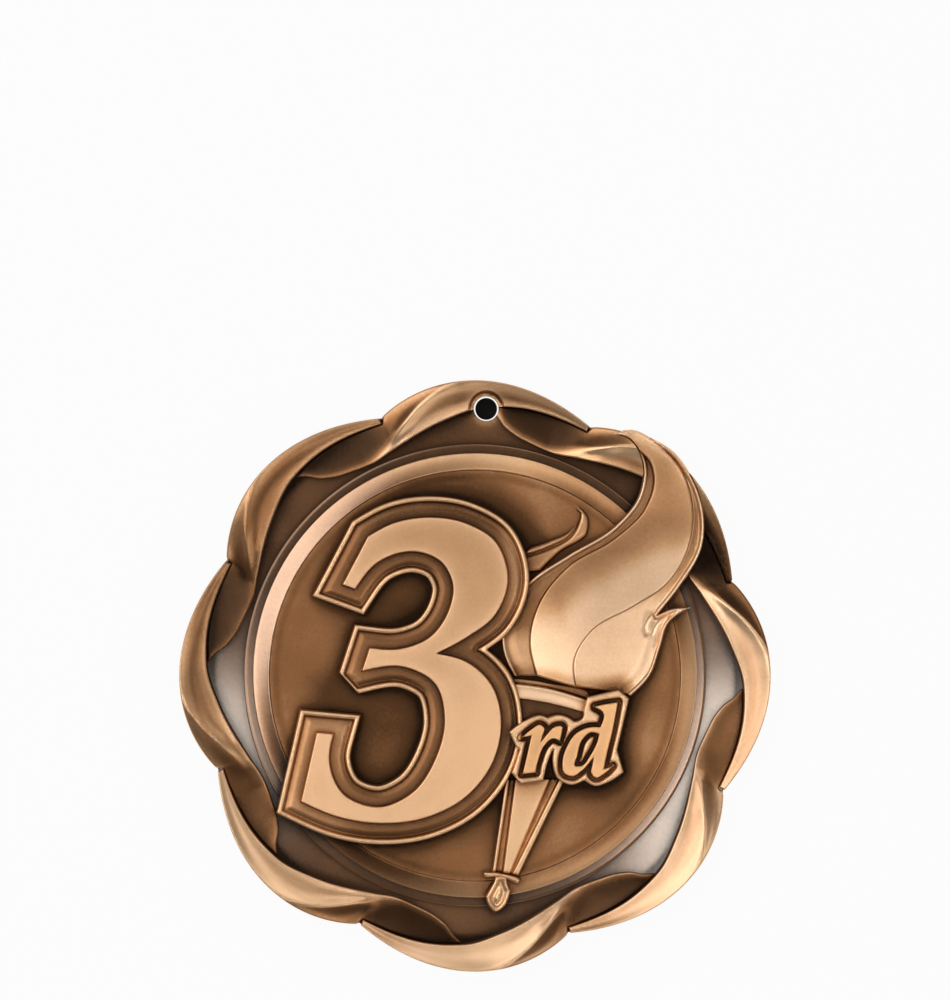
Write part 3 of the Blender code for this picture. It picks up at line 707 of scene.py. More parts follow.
def rim_along(points, curve):
    """A raised rim beside a curve, from 0 to 1, with a shallow dip behind it."""
    gap = gap_to(points, curve)
    return ramp(-gap, -0.62, -0.3) - 0.35 * ramp(gap, 0.4, 0.7) * ramp(-gap, -2.2, -0.7)


def eased(points, outline, drop, reach):
    """How far a face falls towards its outline."""
    return drop * (1 - np.clip(depth_in(points, outline) / reach, 0, 1)) ** 2


def groove(points, curve, depth, width):
    return depth * np.exp(-((gap_to(points, curve) / width) ** 2))


def back_tongue_height(points):
    height = BACK_TOP - 0.25 + 0.25 * rim_along(points, left_side)
    return height - eased(points, flame_outline, 0.25, 0.25) - eased(points, back_tongue, 0.1, 0.18)


def middle_tongue_height(points):
    up, down = gap_to(points, back_line), gap_to(points, front_line)
    share = up / (up + down)
    height = MIDDLE_TOP - np.minimum(0.55, 0.09 * (up + down)) * (1 - share) ** 1.1
    return height - eased(points, flame_outline, 0.2, 0.25) - eased(points, middle_tongue, 0.1, 0.18)


def front_tongue_height(points):
    height = FRONT_TOP - 0.28 + 0.28 * rim_along(points, right_side)
    height = height - eased(points, flame_outline, 0.25, 0.25) - eased(points, front_tongue, 0.1, 0.18)
    return height - groove(points, hook, 0.14, 0.13) - groove(points, inner_line, 0.14, 0.11)


def wisp_height(points):
    return WISP_TOP - eased(points, wisp, 0.5, 0.5) - groove(points, wisp_line, 0.45, 0.2)


hook, inner_line = smooth_curve(FRONT_HOOK, 0.06), smooth_curve(FRONT_INNER_LINE, 0.06)
wisp_line = smooth_curve(WISP_LINE, 0.06)


def beside(curve, shift):
    ahead = np.gradient(curve, axis=0)
    ahead /= np.linalg.norm(ahead, axis=1)[:, None]
    return curve + shift * np.stack([ahead[:, 1], -ahead[:, 0]], axis=1)


def edge_lines(outline):
    return [grown(outline, d) for d in tongue_insets]


def foot_shade(points):
    return 0.45 * ramp(-gap_to(points[:, :2], flame_foot), -2.6, 0)


# Back tongue lighter low down, with a bright band along its left rim: painted light and a painted highlight.
def back_tone(points):
    face = 0.64 + 0.24 * ramp(-points[:, 1], -7, -4) - foot_shade(points)
    return face + 0.2 * ramp(-gap_to(points[:, :2], left_side), -0.6, -0.3)


# Middle tongue lighter towards the front tongue and low down, darker at the top: painted light and shade.
def middle_tone(points):
    up, down = gap_to(points[:, :2], back_line), gap_to(points[:, :2], front_line)
    across_it = ramp(up / (up + down), 0.05, 0.7) * ramp(-points[:, 1], -20, -14)
    face = 0.64 - 0.1 * ramp(points[:, 1], 21, 27) - foot_shade(points)
    return face + 0.33 * np.maximum(across_it, ramp(-points[:, 1], -12, -5))


# Front tongue lighter low down and darker at the top, with a bright band along its right rim: painted light and shade
# and a painted highlight.
def front_tone(points):
    y = points[:, 1]
    face = 0.58 + 0.37 * ramp(-y, -14, -8) - 0.14 * ramp(y, 22, 26) - foot_shade(points)
    return face + 0.2 * ramp(-gap_to(points[:, :2], right_side), -0.6, -0.3)


shape("flame_back", face_over(back_tongue, back_tongue_height, FLOOR, edge_lines(back_tongue)), back_tone, "flame_back")
shape("flame_middle", face_over(middle_tongue, middle_tongue_height, FLOOR, edge_lines(middle_tongue)), middle_tone,
      "flame_middle")
front_cuts = [beside(line, d) for line in (hook, inner_line) for d in (-0.25, -0.12, 0.0, 0.12, 0.25)]
shape("flame_front", face_over(front_tongue, front_tongue_height, FLOOR, edge_lines(front_tongue) + front_cuts),
      front_tone, "flame_front")
wisp_cuts = [beside(wisp_line, d) for d in (-0.3, -0.15, 0.0, 0.15, 0.3)]
shape("flame_wisp", face_over(wisp, wisp_height, FIELD - 0.3, [grown(wisp, d) for d in (-0.12, -0.25, -0.4)] + wisp_cuts,
                              0.22), 0.6, "flame_wisp")


# Leaves of the border
def knot_value(knots, t):
    """A curve through (t, value) knots that never overshoots them, held level beyond its ends."""
    times, values = np.array(knots, float).T
    steps = np.diff(values) / np.diff(times)
    product = steps[:-1] * steps[1:]
    level = np.where(product > 0, steps[:-1] + steps[1:], 1.0)
    inner = np.where(product > 0, 2 * product / level, 0.0)
    slopes = np.concatenate([steps[:1], inner, steps[-1:]])
    t = np.clip(t, times[0], times[-1])
    i = np.clip(np.searchsorted(times, t, side="right") - 1, 0, len(times) - 2)
    span = times[i + 1] - times[i]
    s = (t - times[i]) / span
    return (
        (2 * s**3 - 3 * s**2 + 1) * values[i]
        + (s**3 - 2 * s**2 + s) * span * slopes[i]
        + (3 * s**2 - 2 * s**3) * values[i + 1]
        + (s**3 - s**2) * span * slopes[i + 1]
    )


def lobe_radius(t):
    """Outer edge of the medal across one lobe."""
    return CREST_RADIUS - LOBE_DEPTH * (1 - np.sin(math.pi * np.clip(t, 0, 1) ** LOBE_SKEW))


def leaf_inner(t):
    return CREST_RADIUS - BORDER_WIDTH * knot_value(LEAF_INNER, t)


def leaf_outer(t):
    """Outer edge of a leaf: the tail of the one before it, then the edge of the medal."""
    begin, end = LEAF_STEP_OUT
    s = np.clip((t - begin) / (end - begin), 0, 1)
    return (1 - s) * (leaf_inner(np.minimum(t, begin) + 1) - LEAF_GAP) + s * lobe_radius(np.maximum(t, end))


def leaf_crest(t):
    crest = CREST_RADIUS - BORDER_WIDTH * knot_value(LEAF_RIDGE, t)
    return np.clip(crest, leaf_inner(t), leaf_outer(t))


def leaf_rise(t, radius):
    """Height of a leaf's face above the floor, as a share, with a crest that runs out across the ribbon."""
    inner, outer, crest_at = leaf_inner(t), leaf_outer(t), leaf_crest(t)
    edge = knot_value(EDGE_SHARE, t)
    crest = np.maximum(edge, knot_value(CREST_SHARE, t))
    foot = np.minimum(crest, knot_value(FOOT_SHARE, t))
    on_face = np.clip((radius - inner) / np.maximum(crest_at - inner, 1e-6), 0, 1)
    face = edge + (crest - edge) * on_face - FACE_SAG * np.sin(math.pi * on_face)
    behind = np.clip((radius - crest_at) / np.maximum(outer - crest_at, 1e-6), 0, 1)
    start = np.where(crest_at <= inner, edge, crest)
    slope = start + (foot - start) * (1 - (1 - behind) ** 2)
    return np.where((radius <= crest_at) & (crest_at > inner), face, slope)


def on_lobe(lobe, t, radius):
    angle = np.radians(LOBE_TURN - (lobe + t) * 360 / LOBES)
    return np.stack([radius * np.cos(angle), radius * np.sin(angle)], axis=1)


def lobe_place(lobe, points):
    """Share of the lobe's turn and radius of each point."""
    angle = np.degrees(np.arctan2(points[:, 1], points[:, 0]))
    t = ((LOBE_TURN - angle) * LOBES / 360 - lobe + LOBES / 2) % LOBES - LOBES / 2
    return t, np.hypot(points[:, 0], points[:, 1])


def leaf(lobe, holes, spot_face):
    t = np.linspace(LEAF_START, LEAF_END, 420)
    inner, outer = on_lobe(lobe, t, leaf_inner(t)), on_lobe(lobe, t, leaf_outer(t))
    outline = filled_in(np.vstack([outer, inner[::-1]])[::-1])
    if np.sum(outline[:, 0] * np.roll(outline, -1, 0)[:, 1] - np.roll(outline, -1, 0)[:, 0] * outline[:, 1]) < 0:
        outline = outline[::-1]

    def height(points):
        turn, radius = lobe_place(lobe, points)
        soft = 0.3 + 0.4 * ramp(-turn, -0.1, 0.05)
        shifts = np.linspace(-1.1, 1.1, 15)
        rise = sum(leaf_rise(turn, radius + shift * soft) for shift in shifts) / len(shifts)
        rise = FLOOR + (LEAF_TOP - FLOOR) * rise
        inside = depth_in(points, outline)
        rise = rise - 0.16 * (1 - np.clip(inside / 0.16, 0, 1)) ** 2
        if spot_face:
            apart = np.hypot(points[:, 0] - HOLE_CENTRE[0], points[:, 1] - HOLE_CENTRE[1])
            cut = SPOT_FACE_TOP + (LEAF_TOP - SPOT_FACE_TOP) * ramp(apart, SPOT_FACE_RADIUS - 0.05, SPOT_FACE_RADIUS + 0.3)
            rise = np.minimum(rise, np.where(apart < SPOT_FACE_RADIUS + 0.3, cut, rise))
        return rise

    # A leaf's tone: its face from the tables above, its back behind the crest darker with painted shade, darkest where
    # the leaf folds, and a bright line along its inner edge.
    def tone(points):
        turn, radius = lobe_place(lobe, points)
        past = radius - leaf_crest(turn)
        share = (radius - leaf_inner(turn)) / np.maximum(leaf_outer(turn) - leaf_inner(turn), 0.1)
        streaks = 0.04 * np.sin(11 * share + 0.6 * lobe) + 0.02 * np.sin(29 * share + 2.1 * lobe)
        # buffed: the face's tone, wear and painted light together, with streaks along the ribbon.
        buffed = knot_value(list(zip(LEAF_WEAR_AND_LIGHT_AT, LEAF_WEAR_AND_LIGHT[lobe])), turn) + streaks
        folding = ramp(-turn, -0.1, 0.1)
        folded, open_back = LEAF_BACK_WEAR_AND_SHADE[lobe]
        shaded = open_back + (folded - open_back) * folding
        has_back = ramp(-turn, -0.42, -0.33)
        # The second leaf's face darker towards its inner edge, beside the flame: painted shade.
        if lobe == 1:
            rising = (radius - leaf_inner(turn)) / np.maximum(leaf_crest(turn) - leaf_inner(turn), 0.1)
            buffed = buffed - 0.5 * ramp(-rising, -0.65, -0.25)
        face = buffed + (shaded - buffed) * ramp(past, -0.05 - 0.9 * folding, 0.4 + 0.9 * folding) * has_back
        # A bright line along the inner edge: a rubbed edge and a painted highlight.
        return face + 0.3 * ramp(leaf_inner(turn) - radius, -0.2, -0.03) * ramp(turn, -0.2, 0.0)

    ridge_t = np.linspace(-0.12, 0.34, 160)
    ridge = on_lobe(lobe, ridge_t, leaf_crest(ridge_t))
    lines = [grown(outline, d) for d in (-0.05, -0.1, -0.17, -0.26)]
    lines += [beside(ridge, d) for d in (-0.3, -0.14, 0.0, 0.14, 0.3)]
    if spot_face:
        lines += [circle(HOLE_CENTRE, SPOT_FACE_RADIUS + d) for d in (-0.1, 0.0, 0.1, 0.2, 0.3)]
    return face_over(outline, height, FLOOR, lines, holes=holes), tone


hole = circle(HOLE_CENTRE, HOLE_RADIUS)
for lobe in range(LOBES):
    holes = []
    if lobe in (0, 1):
        holes.append(hole)
    if lobe in (1, 2):
        holes.append(flame_outline)
    leaf_name = f"border_leaf_{lobe + 1}"
    shape(leaf_name, *leaf(lobe, holes, lobe in (0, 1)), leaf_name)

# Bead, its ledge, the field and the back plate
def bead_profile():
    """From the field's rim up to a sharp crest, then down a hollow slope to its lip."""
    start, end = FIELD_RADIUS, BEAD_OUTER - LEDGE_WIDTH
    lip = LEDGE + BEAD_LIP
    points = [(start, FIELD)]
    for turn in np.linspace(0, 0.9 * math.pi / 2, 7):
        points.append((start + 0.25 * (1 - math.cos(turn)), BEAD_TOP - 0.2 + 0.17 * math.sin(turn)))
    for share in np.linspace(0.14, 0.96, 20):
        points.append((start + (end - start) * share, lip + (BEAD_TOP - lip) * (1 - share) ** BEAD_HOLLOW))
    return points + [(end - 0.03, lip - 0.012), (end, lip - 0.04), (end + 0.02, LEDGE), (end + 0.03, LEDGE - 0.1)]


# Tone of the bead by angle in degrees, lightest at the top and darkest at the lower left: wear together with painted
# light and shade.
BEAD_WEAR_AND_LIGHT = [(0, 0.64), (20, 0.46), (55, 0.47), (85, 0.72), (120, 0.53), (150, 0.66), (180, 0.6), (220, 0.28),
             (270, 0.56), (300, 0.5), (325, 0.39), (360, 0.64)]
# Angle of the upper left, where a glossy coat is laid on the bead: a painted sheen where the highlight falls.
BEAD_SHEEN_ANGLE = 157


def bead_painted_sheen(points):
    angle = np.degrees(np.arctan2(points[:, 1], points[:, 0])) % 360
    return np.exp(-((angle - BEAD_SHEEN_ANGLE) / 44) ** 2)


def bead_tone(points):
    radius = np.hypot(points[:, 0], points[:, 1])
    angle = np.degrees(np.arctan2(points[:, 1], points[:, 0])) % 360
    # Lighter outward across the bead and a little lighter at its lip; the outward rise is smaller at the upper left and
    # larger at the lower right: painted light.
    outward = 0.24 - 0.18 * np.exp(-((angle - 160) / 30) ** 2) + 0.12 * np.exp(-(((angle + 210) % 360 - 180) / 40) ** 2)
    return knot_value(BEAD_WEAR_AND_LIGHT, angle) + outward * ramp(radius, 26.5, 28.6) + 0.06 * ramp(radius, 28.4, 28.65)


ledge_profile = [(BEAD_OUTER - out, LEDGE - down) for out, down in
                 [(LEDGE_WIDTH + 0.1, 0.0), (0.9, 0.0), (0.5, 0.0), (0.15, 0.0), (0.06, 0.02), (0.015, 0.08)]]
ledge_profile.append((BEAD_OUTER, FLOOR - 0.05))
shape("bead_ring", turned(bead_profile()), bead_tone, "bead_ring")
shape("bead_ledge", turned(ledge_profile), 0.38)
field = circle((0, 0), FIELD_RADIUS - 0.02)
# Soft patches of the field: a place, a reach, and how much the tone rises or falls there
FIELD_PATCHES = [((-11.5, -6.5), 5.0, -0.22), ((-8.5, 7.5), 3.5, -0.2), ((-10.5, -23.0), 6.0, -0.16), ((9.0, 24.5), 4.5, 0.08),
                 ((17.7, -15.0), 4.0, -0.16), ((11.5, -19.5), 4.0, 0.06), ((21.5, -8.0), 3.0, 0.12),
                 ((-19.5, -1.5), 2.5, -0.2), ((-22.5, -6.0), 2.5, 0.12)]


def field_height(points):
    out = np.hypot(points[:, 0], points[:, 1]) - (FIELD_RADIUS - DISH_WIDTH)
    return FIELD + FIELD_DISH * np.clip(out / DISH_WIDTH, 0, 1) ** 2


def field_tone(points):
    radius = np.hypot(points[:, 0], points[:, 1])
    # Darker along the crease to the bead. Darker in a band above the numeral's top, towards the bead: painted shade,
    # with patina left in that narrow gap.
    crease = np.exp(-((radius - 25.75) / 0.45) ** 2)
    above_numeral = ramp(depth_in(points[:, :2], numeral_edge), -4.4, -2.2) * ramp(points[:, 1], 15, 18)
    tone = 0.55 - 0.1 * crease - 0.2 * above_numeral * ramp(points[:, 0], -14, -7)
    for (x, y), reach, change in FIELD_PATCHES:
        tone = tone + change * np.exp(-((points[:, 0] - x) ** 2 + (points[:, 1] - y) ** 2) / reach**2)
    return tone


shape("field_disc", face_over(field, field_height, FLOOR, step=BROAD_STEP), field_tone, "field_disc")


def scalloped():
    """Outline of the body: the lobes, and the flame where it reaches past them."""
    angles = np.radians(np.arange(1440) / 4)
    t = (LOBE_TURN - np.degrees(angles)) * LOBES / 360 % 1
    radius = lobe_radius(t)
    along = np.roll(flame_outline, -1, axis=0) - flame_outline
    for i, (x, y) in enumerate(np.stack([np.cos(angles), np.sin(angles)], axis=1)):
        share = (y * flame_outline[:, 0] - x * flame_outline[:, 1]) / (x * along[:, 1] - y * along[:, 0] + 1e-12)
        met = flame_outline[(share >= 0) & (share <= 1)]
        if len(met):
            radius[i] = max(radius[i], (met @ (x, y)).max())
    return np.stack([radius * np.cos(angles), radius * np.sin(angles)], axis=1)


body = scalloped()
EDGE_ROUND = 0.35


def plate_height(points):
    return FLOOR - 0.1 * (1 - np.clip(depth_in(points, body) / 0.15, 0, 1)) ** 2


def back_height(points):
    inside = np.minimum(depth_in(points, body), -depth_in(points, hole))
    return EDGE_ROUND * (1 - np.sqrt(1 - (1 - np.clip(inside / EDGE_ROUND, 0, 1)) ** 2))


def plate_tone(points):
    radius = np.hypot(points[:, 0], points[:, 1])
    angle = np.degrees(np.arctan2(points[:, 1], points[:, 0])) % 360
    # Lighter and browner at three angles: painted light and reflection on the floor. Darker towards the outer edge.
    painted_light = 0.14 * np.exp(-((angle - 255) / 26) ** 2) + 0.04 * np.exp(-((angle - 138) / 25) ** 2)
    painted_light = painted_light + 0.13 * np.exp(-((angle - 15) / 9) ** 2)
    return 0.46 + painted_light - 0.36 * ramp(radius, 33.2, 34.2)


front_points, front_faces = face_over(
    body, plate_height, EDGE_ROUND, [grown(body, d) for d in (-0.06, -0.12, -0.2)], BROAD_STEP, [hole]
)
rear_points, rear_faces = face_over(
    body,
    back_height,
    EDGE_ROUND,
    [grown(body, -d) for d in (0.03, 0.08, 0.16, 0.25, 0.35)]
    + [circle(HOLE_CENTRE, HOLE_RADIUS + d) for d in (0.03, 0.08, 0.16, 0.25, 0.35)],
    0.9,
    [hole],
)
top_faces = [face for face in front_faces if len(face) == 3]
top_count = 1 + max(max(face) for face in top_faces)
side_points = front_points[top_count:]
side_faces = [tuple(i - top_count for i in face) for face in front_faces if len(face) == 4]
rear_faces = [tuple(i + len(side_points) for i in reversed(face)) for face in rear_faces]
shape("back_plate", (front_points[:top_count], top_faces), plate_tone, "back_plate")
shape("back_shell", (np.vstack([side_points, rear_points]), side_faces + rear_faces), 0.62)


# Tone: how far the patina was buffed off, from the height above what lies around, added to each piece's own tone, which
# in places holds painted light and shade
def relief_map():
    """Height of the front on a grid, in millimetres, and the grid's first place."""
    points, faces = [], []
    for piece_points, piece_faces, _, _ in shapes.values():
        faces += [tuple(i + len(points) for i in face) for face in piece_faces]
        points += [tuple(point) for point in piece_points]
    tree = BVHTree.FromPolygons(points, faces)
    reach = CREST_RADIUS + 3
    places = np.arange(-reach, reach, RELIEF_STEP)
    down = Vector((0, 0, -1))
    heights = np.zeros((len(places), len(places)))
    for i, y in enumerate(places):
        for j, x in enumerate(places):
            hit = tree.ray_cast((x, y, 20.0), down)[0]
            if hit is not None:
                heights[i, j] = hit.z
    return heights, -reach


def blurred(grid, reach):
    """A grid smoothed with a bell curve of this reach in millimetres."""
    spread = reach / RELIEF_STEP
    offsets = np.arange(-int(3 * spread), int(3 * spread) + 1)
    bell = np.exp(-0.5 * (offsets / spread) ** 2)
    bell /= bell.sum()
    for axis in (0, 1):
        grid = np.apply_along_axis(lambda line: np.convolve(line, bell, mode="same"), axis, grid)
    return grid


def sampled(grid, start, points):
    """Values of the grid at these places, evened out between its cells."""
    place = (points[:, :2] - start) / RELIEF_STEP
    corner = np.clip(np.floor(place).astype(int), 0, len(grid) - 2)
    share = place - corner
    x, y = corner.T
    low = grid[y, x] * (1 - share[:, 0]) + grid[y, x + 1] * share[:, 0]
    high = grid[y + 1, x] * (1 - share[:, 0]) + grid[y + 1, x + 1] * share[:, 0]
    return low * (1 - share[:, 1]) + high * share[:, 1]


relief, relief_start = relief_map()
surroundings = [(0.3, 0.25), (0.9, 0.5), (2.4, 1.0)]
around = [(blurred(relief, reach), limit) for reach, limit in surroundings]
SHADE = (0.5, 0.35, 0.14)
shade_of = {"field_disc": (0.5, 0.24, 0.45), "back_shell": (0.0, 0.0, 0.0)}
shade_from = {"field_disc": 0.2}


def tones(name, points, base):
    tone = base(points) if callable(base) else np.full(len(points), float(base))
    for i, ((grid, limit), weight) in enumerate(zip(around, shade_of.get(name, SHADE))):
        above = points[:, 2] - sampled(grid, relief_start, points)
        if i == 2 and name in shade_from:
            above = np.minimum(above + shade_from[name], 0)
        tone = tone + weight * np.clip(above, -limit, limit)
    return np.clip(tone, 0, 1)


# Materials
def linear(colour):
    """A colour given in 0-255 display values, as a shader reads it."""
    parts = [c / 255 for c in colour]
    return [c / 12.92 if c <= 0.04045 else ((c + 0.055) / 1.055) ** 2.4 for c in parts] + [1.0]


def node(tree, kind, inputs=None, **settings):
    made = tree.nodes.new(kind)
    for key, value in settings.items():
        setattr(made, key, value)
    for key, value in (inputs or {}).items():
        if hasattr(value, "is_output"):
            tree.links.new(value, made.inputs[key])
        else:
            made.inputs[key].default_value = value
    return made


def math_node(tree, operation, first, second, clamp=False):
    return node(tree, "ShaderNodeMath", {0: first, 1: second}, operation=operation, use_clamp=clamp).outputs[0]


def bronze(name, grain, grain_stretch, gloss, buff, patina_metal, full_metal=1.0, lacquer=2.0, brightest=(238, 192, 147)):
    """Antique bronze: bright metal where the tone is high, dark glossy patina where it is low."""
    material = bpy.data.materials.new(name)
    material.use_nodes = True
    tree = material.node_tree
    shader = tree.nodes["Principled BSDF"]
    place = node(tree, "ShaderNodeTexCoord").outputs["Object"]
    tone = node(tree, "ShaderNodeAttribute", attribute_name="tone").outputs["Fac"]
    clouds = node(tree, "ShaderNodeTexNoise", {"Vector": place, "Scale": 260.0, "Detail": 3.0}).outputs["Fac"]
    specks = node(tree, "ShaderNodeTexNoise", {"Vector": place, "Scale": 2600.0, "Detail": 2.0}).outputs["Fac"]
    cloudy = math_node(tree, "MULTIPLY_ADD", clouds, 0.12)
    cloudy.node.inputs[2].default_value = -0.06
    specked = math_node(tree, "MULTIPLY_ADD", specks, 0.1)
    specked.node.inputs[2].default_value = -0.05
    # Lightness: the tone with cloudy and speckled patina; the tone holds wear, and in places painted light and shade.
    lightness = math_node(tree, "ADD", math_node(tree, "ADD", tone, cloudy), specked, True)
    colours = node(tree, "ShaderNodeValToRGB", {"Fac": lightness})
    stops = [(0.0, (36, 23, 13)), (0.3, (88, 58, 34)), (0.55, (148, 102, 66)), (0.8, (210, 160, 115)),
             (1.0, brightest)]
    ramp_of = colours.color_ramp
    while len(ramp_of.elements) < len(stops):
        ramp_of.elements.new(0.5)
    for element, (at, colour) in zip(ramp_of.elements, stops):
        element.position = at
        element.color = linear(colour)
    tree.links.new(colours.outputs["Color"], shader.inputs["Base Color"])
    metal = node(tree, "ShaderNodeMapRange", {"Value": lightness, "From Min": 0.1, "From Max": 0.6, "To Min": patina_metal, "To Max": full_metal})
    tree.links.new(metal.outputs["Result"], shader.inputs["Metallic"])
    shine = node(tree, "ShaderNodeMapRange", {"Value": lightness, "From Min": 0.1, "From Max": 0.9, "To Min": gloss,
                                              "To Max": buff})
    tree.links.new(shine.outputs["Result"], shader.inputs["Roughness"])
    shader.inputs["IOR"].default_value = lacquer
    shader.inputs["Specular Tint"].default_value = (1.0, 0.92, 0.82, 1)
    # Reflections weaker where the tone is low: in the patina, and where shade is painted into the tone.
    reflection_by_tone = node(tree, "ShaderNodeMapRange", {"Value": lightness, "From Min": 0.05, "From Max": 0.4, "To Min": 0.12, "To Max": 0.5})
    tree.links.new(reflection_by_tone.outputs["Result"], shader.inputs["Specular IOR Level"])
    # Coat weight from each vertex's wax and painted sheen.
    wax_and_sheen = node(tree, "ShaderNodeAttribute", attribute_name="wax_and_sheen").outputs["Fac"]
    tree.links.new(wax_and_sheen, shader.inputs["Coat Weight"])
    shader.inputs["Coat Roughness"].default_value = 0.2
    shader.inputs["Coat IOR"].default_value = 2.2
    stretched = node(tree, "ShaderNodeMapping", {"Vector": place, "Scale": grain_stretch})
    scratches = node(tree, "ShaderNodeTexNoise", {"Vector": stretched.outputs["Vector"], "Scale": 3000.0, "Detail": 2.0})
    bump = node(tree, "ShaderNodeBump", {"Height": scratches.outputs["Fac"], "Strength": grain, "Distance": 0.00002})
    tree.links.new(bump.outputs["Normal"], shader.inputs["Normal"])
    return material


buffed = bronze("buffed_bronze", 0.2, (1.0, 1.0, 1.0), 0.26, 0.3, 0.85)
brushed = bronze("brushed_bronze", 0.4, (1.0, 0.12, 1.0), 0.3, 0.3, 0.9, brightest=(242, 193, 148))
satin = bronze("satin_bronze", 0.2, (1.0, 1.0, 1.0), 0.36, 0.36, 0.95)
glossy = bronze("glossy_patina", 0.05, (1.0, 1.0, 1.0), 0.08, 0.11, 0.05, 0.12, 2.05)
ledged = bronze("ledge_patina", 0.05, (1.0, 1.0, 1.0), 0.12, 0.16, 0.3, 0.4, 2.05)
polished = bronze("polished_bronze", 0.2, (1.0, 1.0, 1.0), 0.26, 0.3, 0.85, brightest=(254, 211, 170))
lettered = bronze("lettering_bronze", 0.2, (1.0, 1.0, 1.0), 0.26, 0.3, 0.9, brightest=(240, 184, 130))
finish_of = {"numeral_face": brushed, "letter_r": lettered, "letter_d": lettered, "field_disc": satin, "back_plate": glossy, "bead_ledge": ledged,
             "torch_cup": polished}
finish_of.update((f"flame_{tongue}", polished) for tongue in ("back", "middle", "front"))
slots = {row["node"]: row["material_slot"] for row in frame["record"]["subparts"]}

for name, (points, faces, base, cad_node) in shapes.items():
    mesh = bpy.data.meshes.new(name)
    mesh.from_pydata([tuple(point * MM) for point in points], [], faces)
    mesh.update()
    tone = tones(name, points, base)
    # Coat: a painted sheen on the bead, and on each leaf's brightest parts a wax with painted sheen.
    wax_and_sheen = np.zeros(len(points))
    if name == "bead_ring":
        wax_and_sheen = bead_painted_sheen(points)
    elif name.startswith("border_leaf"):
        wax_and_sheen = LEAF_WAX_AND_SHEEN[int(name[-1]) - 1] * ramp(tone, 0.58, 0.85)
    for label, values in (("tone", tone), ("wax_and_sheen", wax_and_sheen)):
        mesh.attributes.new(label, "FLOAT", "POINT").data.foreach_set("value", values.astype(np.float32))
    mesh.shade_smooth()
    mesh.materials.append(finish_of.get(name, buffed))
    piece = bpy.data.objects.new(name + "_finish", mesh)
    bpy.context.scene.collection.objects.link(piece)
    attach(piece, "root")
    if cad_node:
        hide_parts(cad_node)
    slots.get(cad_node, "dark_bronze" if name in ("bead_ledge", "back_shell") else "bright_bronze")


# Floor, lamps and camera
def white_floor():
    mesh = bpy.data.meshes.new("floor")
    half = 3.0
    mesh.from_pydata([(-half, -half, 0), (half, -half, 0), (half, half, 0), (-half, half, 0)], [], [(0, 1, 2, 3)])
    floor = bpy.data.objects.new("floor", mesh)
    floor.location.z = -0.00005
    bpy.context.scene.collection.objects.link(floor)
    material = bpy.data.materials.new("white_floor")
    material.use_nodes = True
    tree = material.node_tree
    paint = tree.nodes["Principled BSDF"]
    paint.inputs["Roughness"].default_value = 0.8
    light = node(tree, "ShaderNodeEmission", {"Color": (1, 1, 1, 1), "Strength": 1.0})
    path = node(tree, "ShaderNodeLightPath")
    seen = math_node(tree, "MAXIMUM", path.outputs["Is Camera Ray"], path.outputs["Is Glossy Ray"])
    seen = math_node(tree, "MAXIMUM", seen, path.outputs["Is Transmission Ray"])
    from_hole = node(tree, "ShaderNodeVectorMath", {0: node(tree, "ShaderNodeTexCoord").outputs["Object"],
                                                    1: (HOLE_CENTRE[0] * MM, HOLE_CENTRE[1] * MM, 0)},
                     operation="DISTANCE").outputs["Value"]
    # Within a little less than the hole's radius the floor is painted black and gets none of the white: painted shade
    # seen through the hole.
    open_floor = math_node(tree, "GREATER_THAN", from_hole, HOLE_SHADE_RADIUS * MM)
    paint_colour = node(tree, "ShaderNodeMix", {0: open_floor, 6: (0.0, 0.0, 0.0, 1), 7: (0.9, 0.9, 0.9, 1)}, data_type="RGBA")
    tree.links.new(paint_colour.outputs[2], paint.inputs["Base Color"])
    share = math_node(tree, "MULTIPLY", math_node(tree, "MULTIPLY", seen, open_floor), 0.95)
    mix = node(tree, "ShaderNodeMixShader", {0: share, 1: paint.outputs["BSDF"], 2: light.outputs["Emission"]})
    tree.links.new(mix.outputs["Shader"], tree.nodes["Material Output"].inputs["Surface"])
    mesh.materials.append(material)


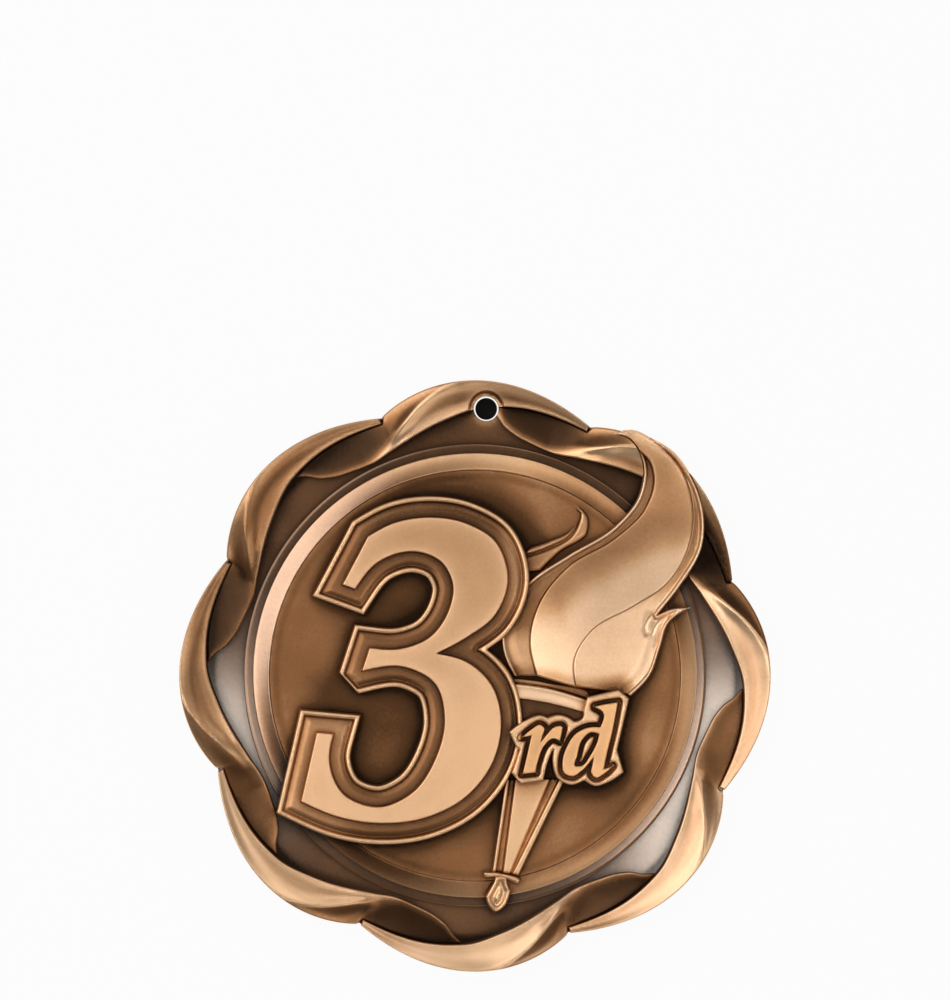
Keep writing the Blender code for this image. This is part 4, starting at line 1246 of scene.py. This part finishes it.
def panel(name, place, aim, size, brightness):
    """A soft box of this size, in metres, turned towards a point. At brightness 1 a mirror shows it white."""
    data = bpy.data.lights.new(name, "AREA")
    data.shape = "RECTANGLE"
    data.size, data.size_y = size
    data.energy = brightness * math.pi * size[0] * size[1]
    made = bpy.data.objects.new(name, data)
    made.location = place
    made.rotation_euler = (Vector(aim) - Vector(place)).to_track_quat("-Z", "Y").to_euler()
    bpy.context.scene.collection.objects.link(made)


white_floor()
panel("key", (-0.281, 0.143, 0.55), (0, 0, 0), (0.39, 0.46), 1.8)
panel("back", (0.06, 0.43, 0.44), (0, 0, 0), (0.18, 0.16), 1.6)
panel("left", (-0.188, -0.08, 0.57), (0, 0, 0), (0.13, 0.1), 1.8)
panel("top", (0.15, 0.215, 0.562), (0, 0, 0), (0.28, 0.15), 1.7)
panel("fill", (0.245, -0.22, 0.52), (0, 0, 0), (0.8, 0.14), 1.4)
panel("left_strip", (-0.093, -0.041, 0.6), (-0.093, -0.041, 0), (0.074, 0.03), 7.6)
panel("right_strip", (0.081, -0.058, 0.6), (0.081, -0.058, 0), (0.078, 0.066), 7.4)


def studio_room():
    """Pale walls under a dark ceiling."""
    world = bpy.context.scene.world or bpy.data.worlds.new("world")
    bpy.context.scene.world = world
    world.use_nodes = True
    tree = world.node_tree
    towards = node(tree, "ShaderNodeTexCoord").outputs["Generated"]
    upward = node(tree, "ShaderNodeSeparateXYZ", {0: towards}).outputs["Z"]
    room = node(tree, "ShaderNodeMapRange", {"Value": upward, "From Min": 0.5, "From Max": 0.92, "To Min": 0.35, "To Max": 0.07},
                interpolation_type="SMOOTHSTEP")
    tree.links.new(room.outputs["Result"], tree.nodes["Background"].inputs["Strength"])
    tree.nodes["Background"].inputs["Color"].default_value = (1, 1, 1, 1)


studio_room()

camera_data = bpy.data.cameras.new("camera")
camera = bpy.data.objects.new("camera", camera_data)
camera.location = (0, PICTURE_RISE * MM, CAMERA_HEIGHT * MM)
camera_data.sensor_fit = "HORIZONTAL"
camera_data.sensor_width = SENSOR_WIDTH
camera_data.lens = SENSOR_WIDTH * (CAMERA_HEIGHT - MEASURED_AT) / PICTURE_WIDTH
camera_data.clip_start = 0.01
bpy.context.scene.collection.objects.link(camera)
bpy.context.scene.camera = camera
bpy.context.scene.view_settings.view_transform = "Standard"
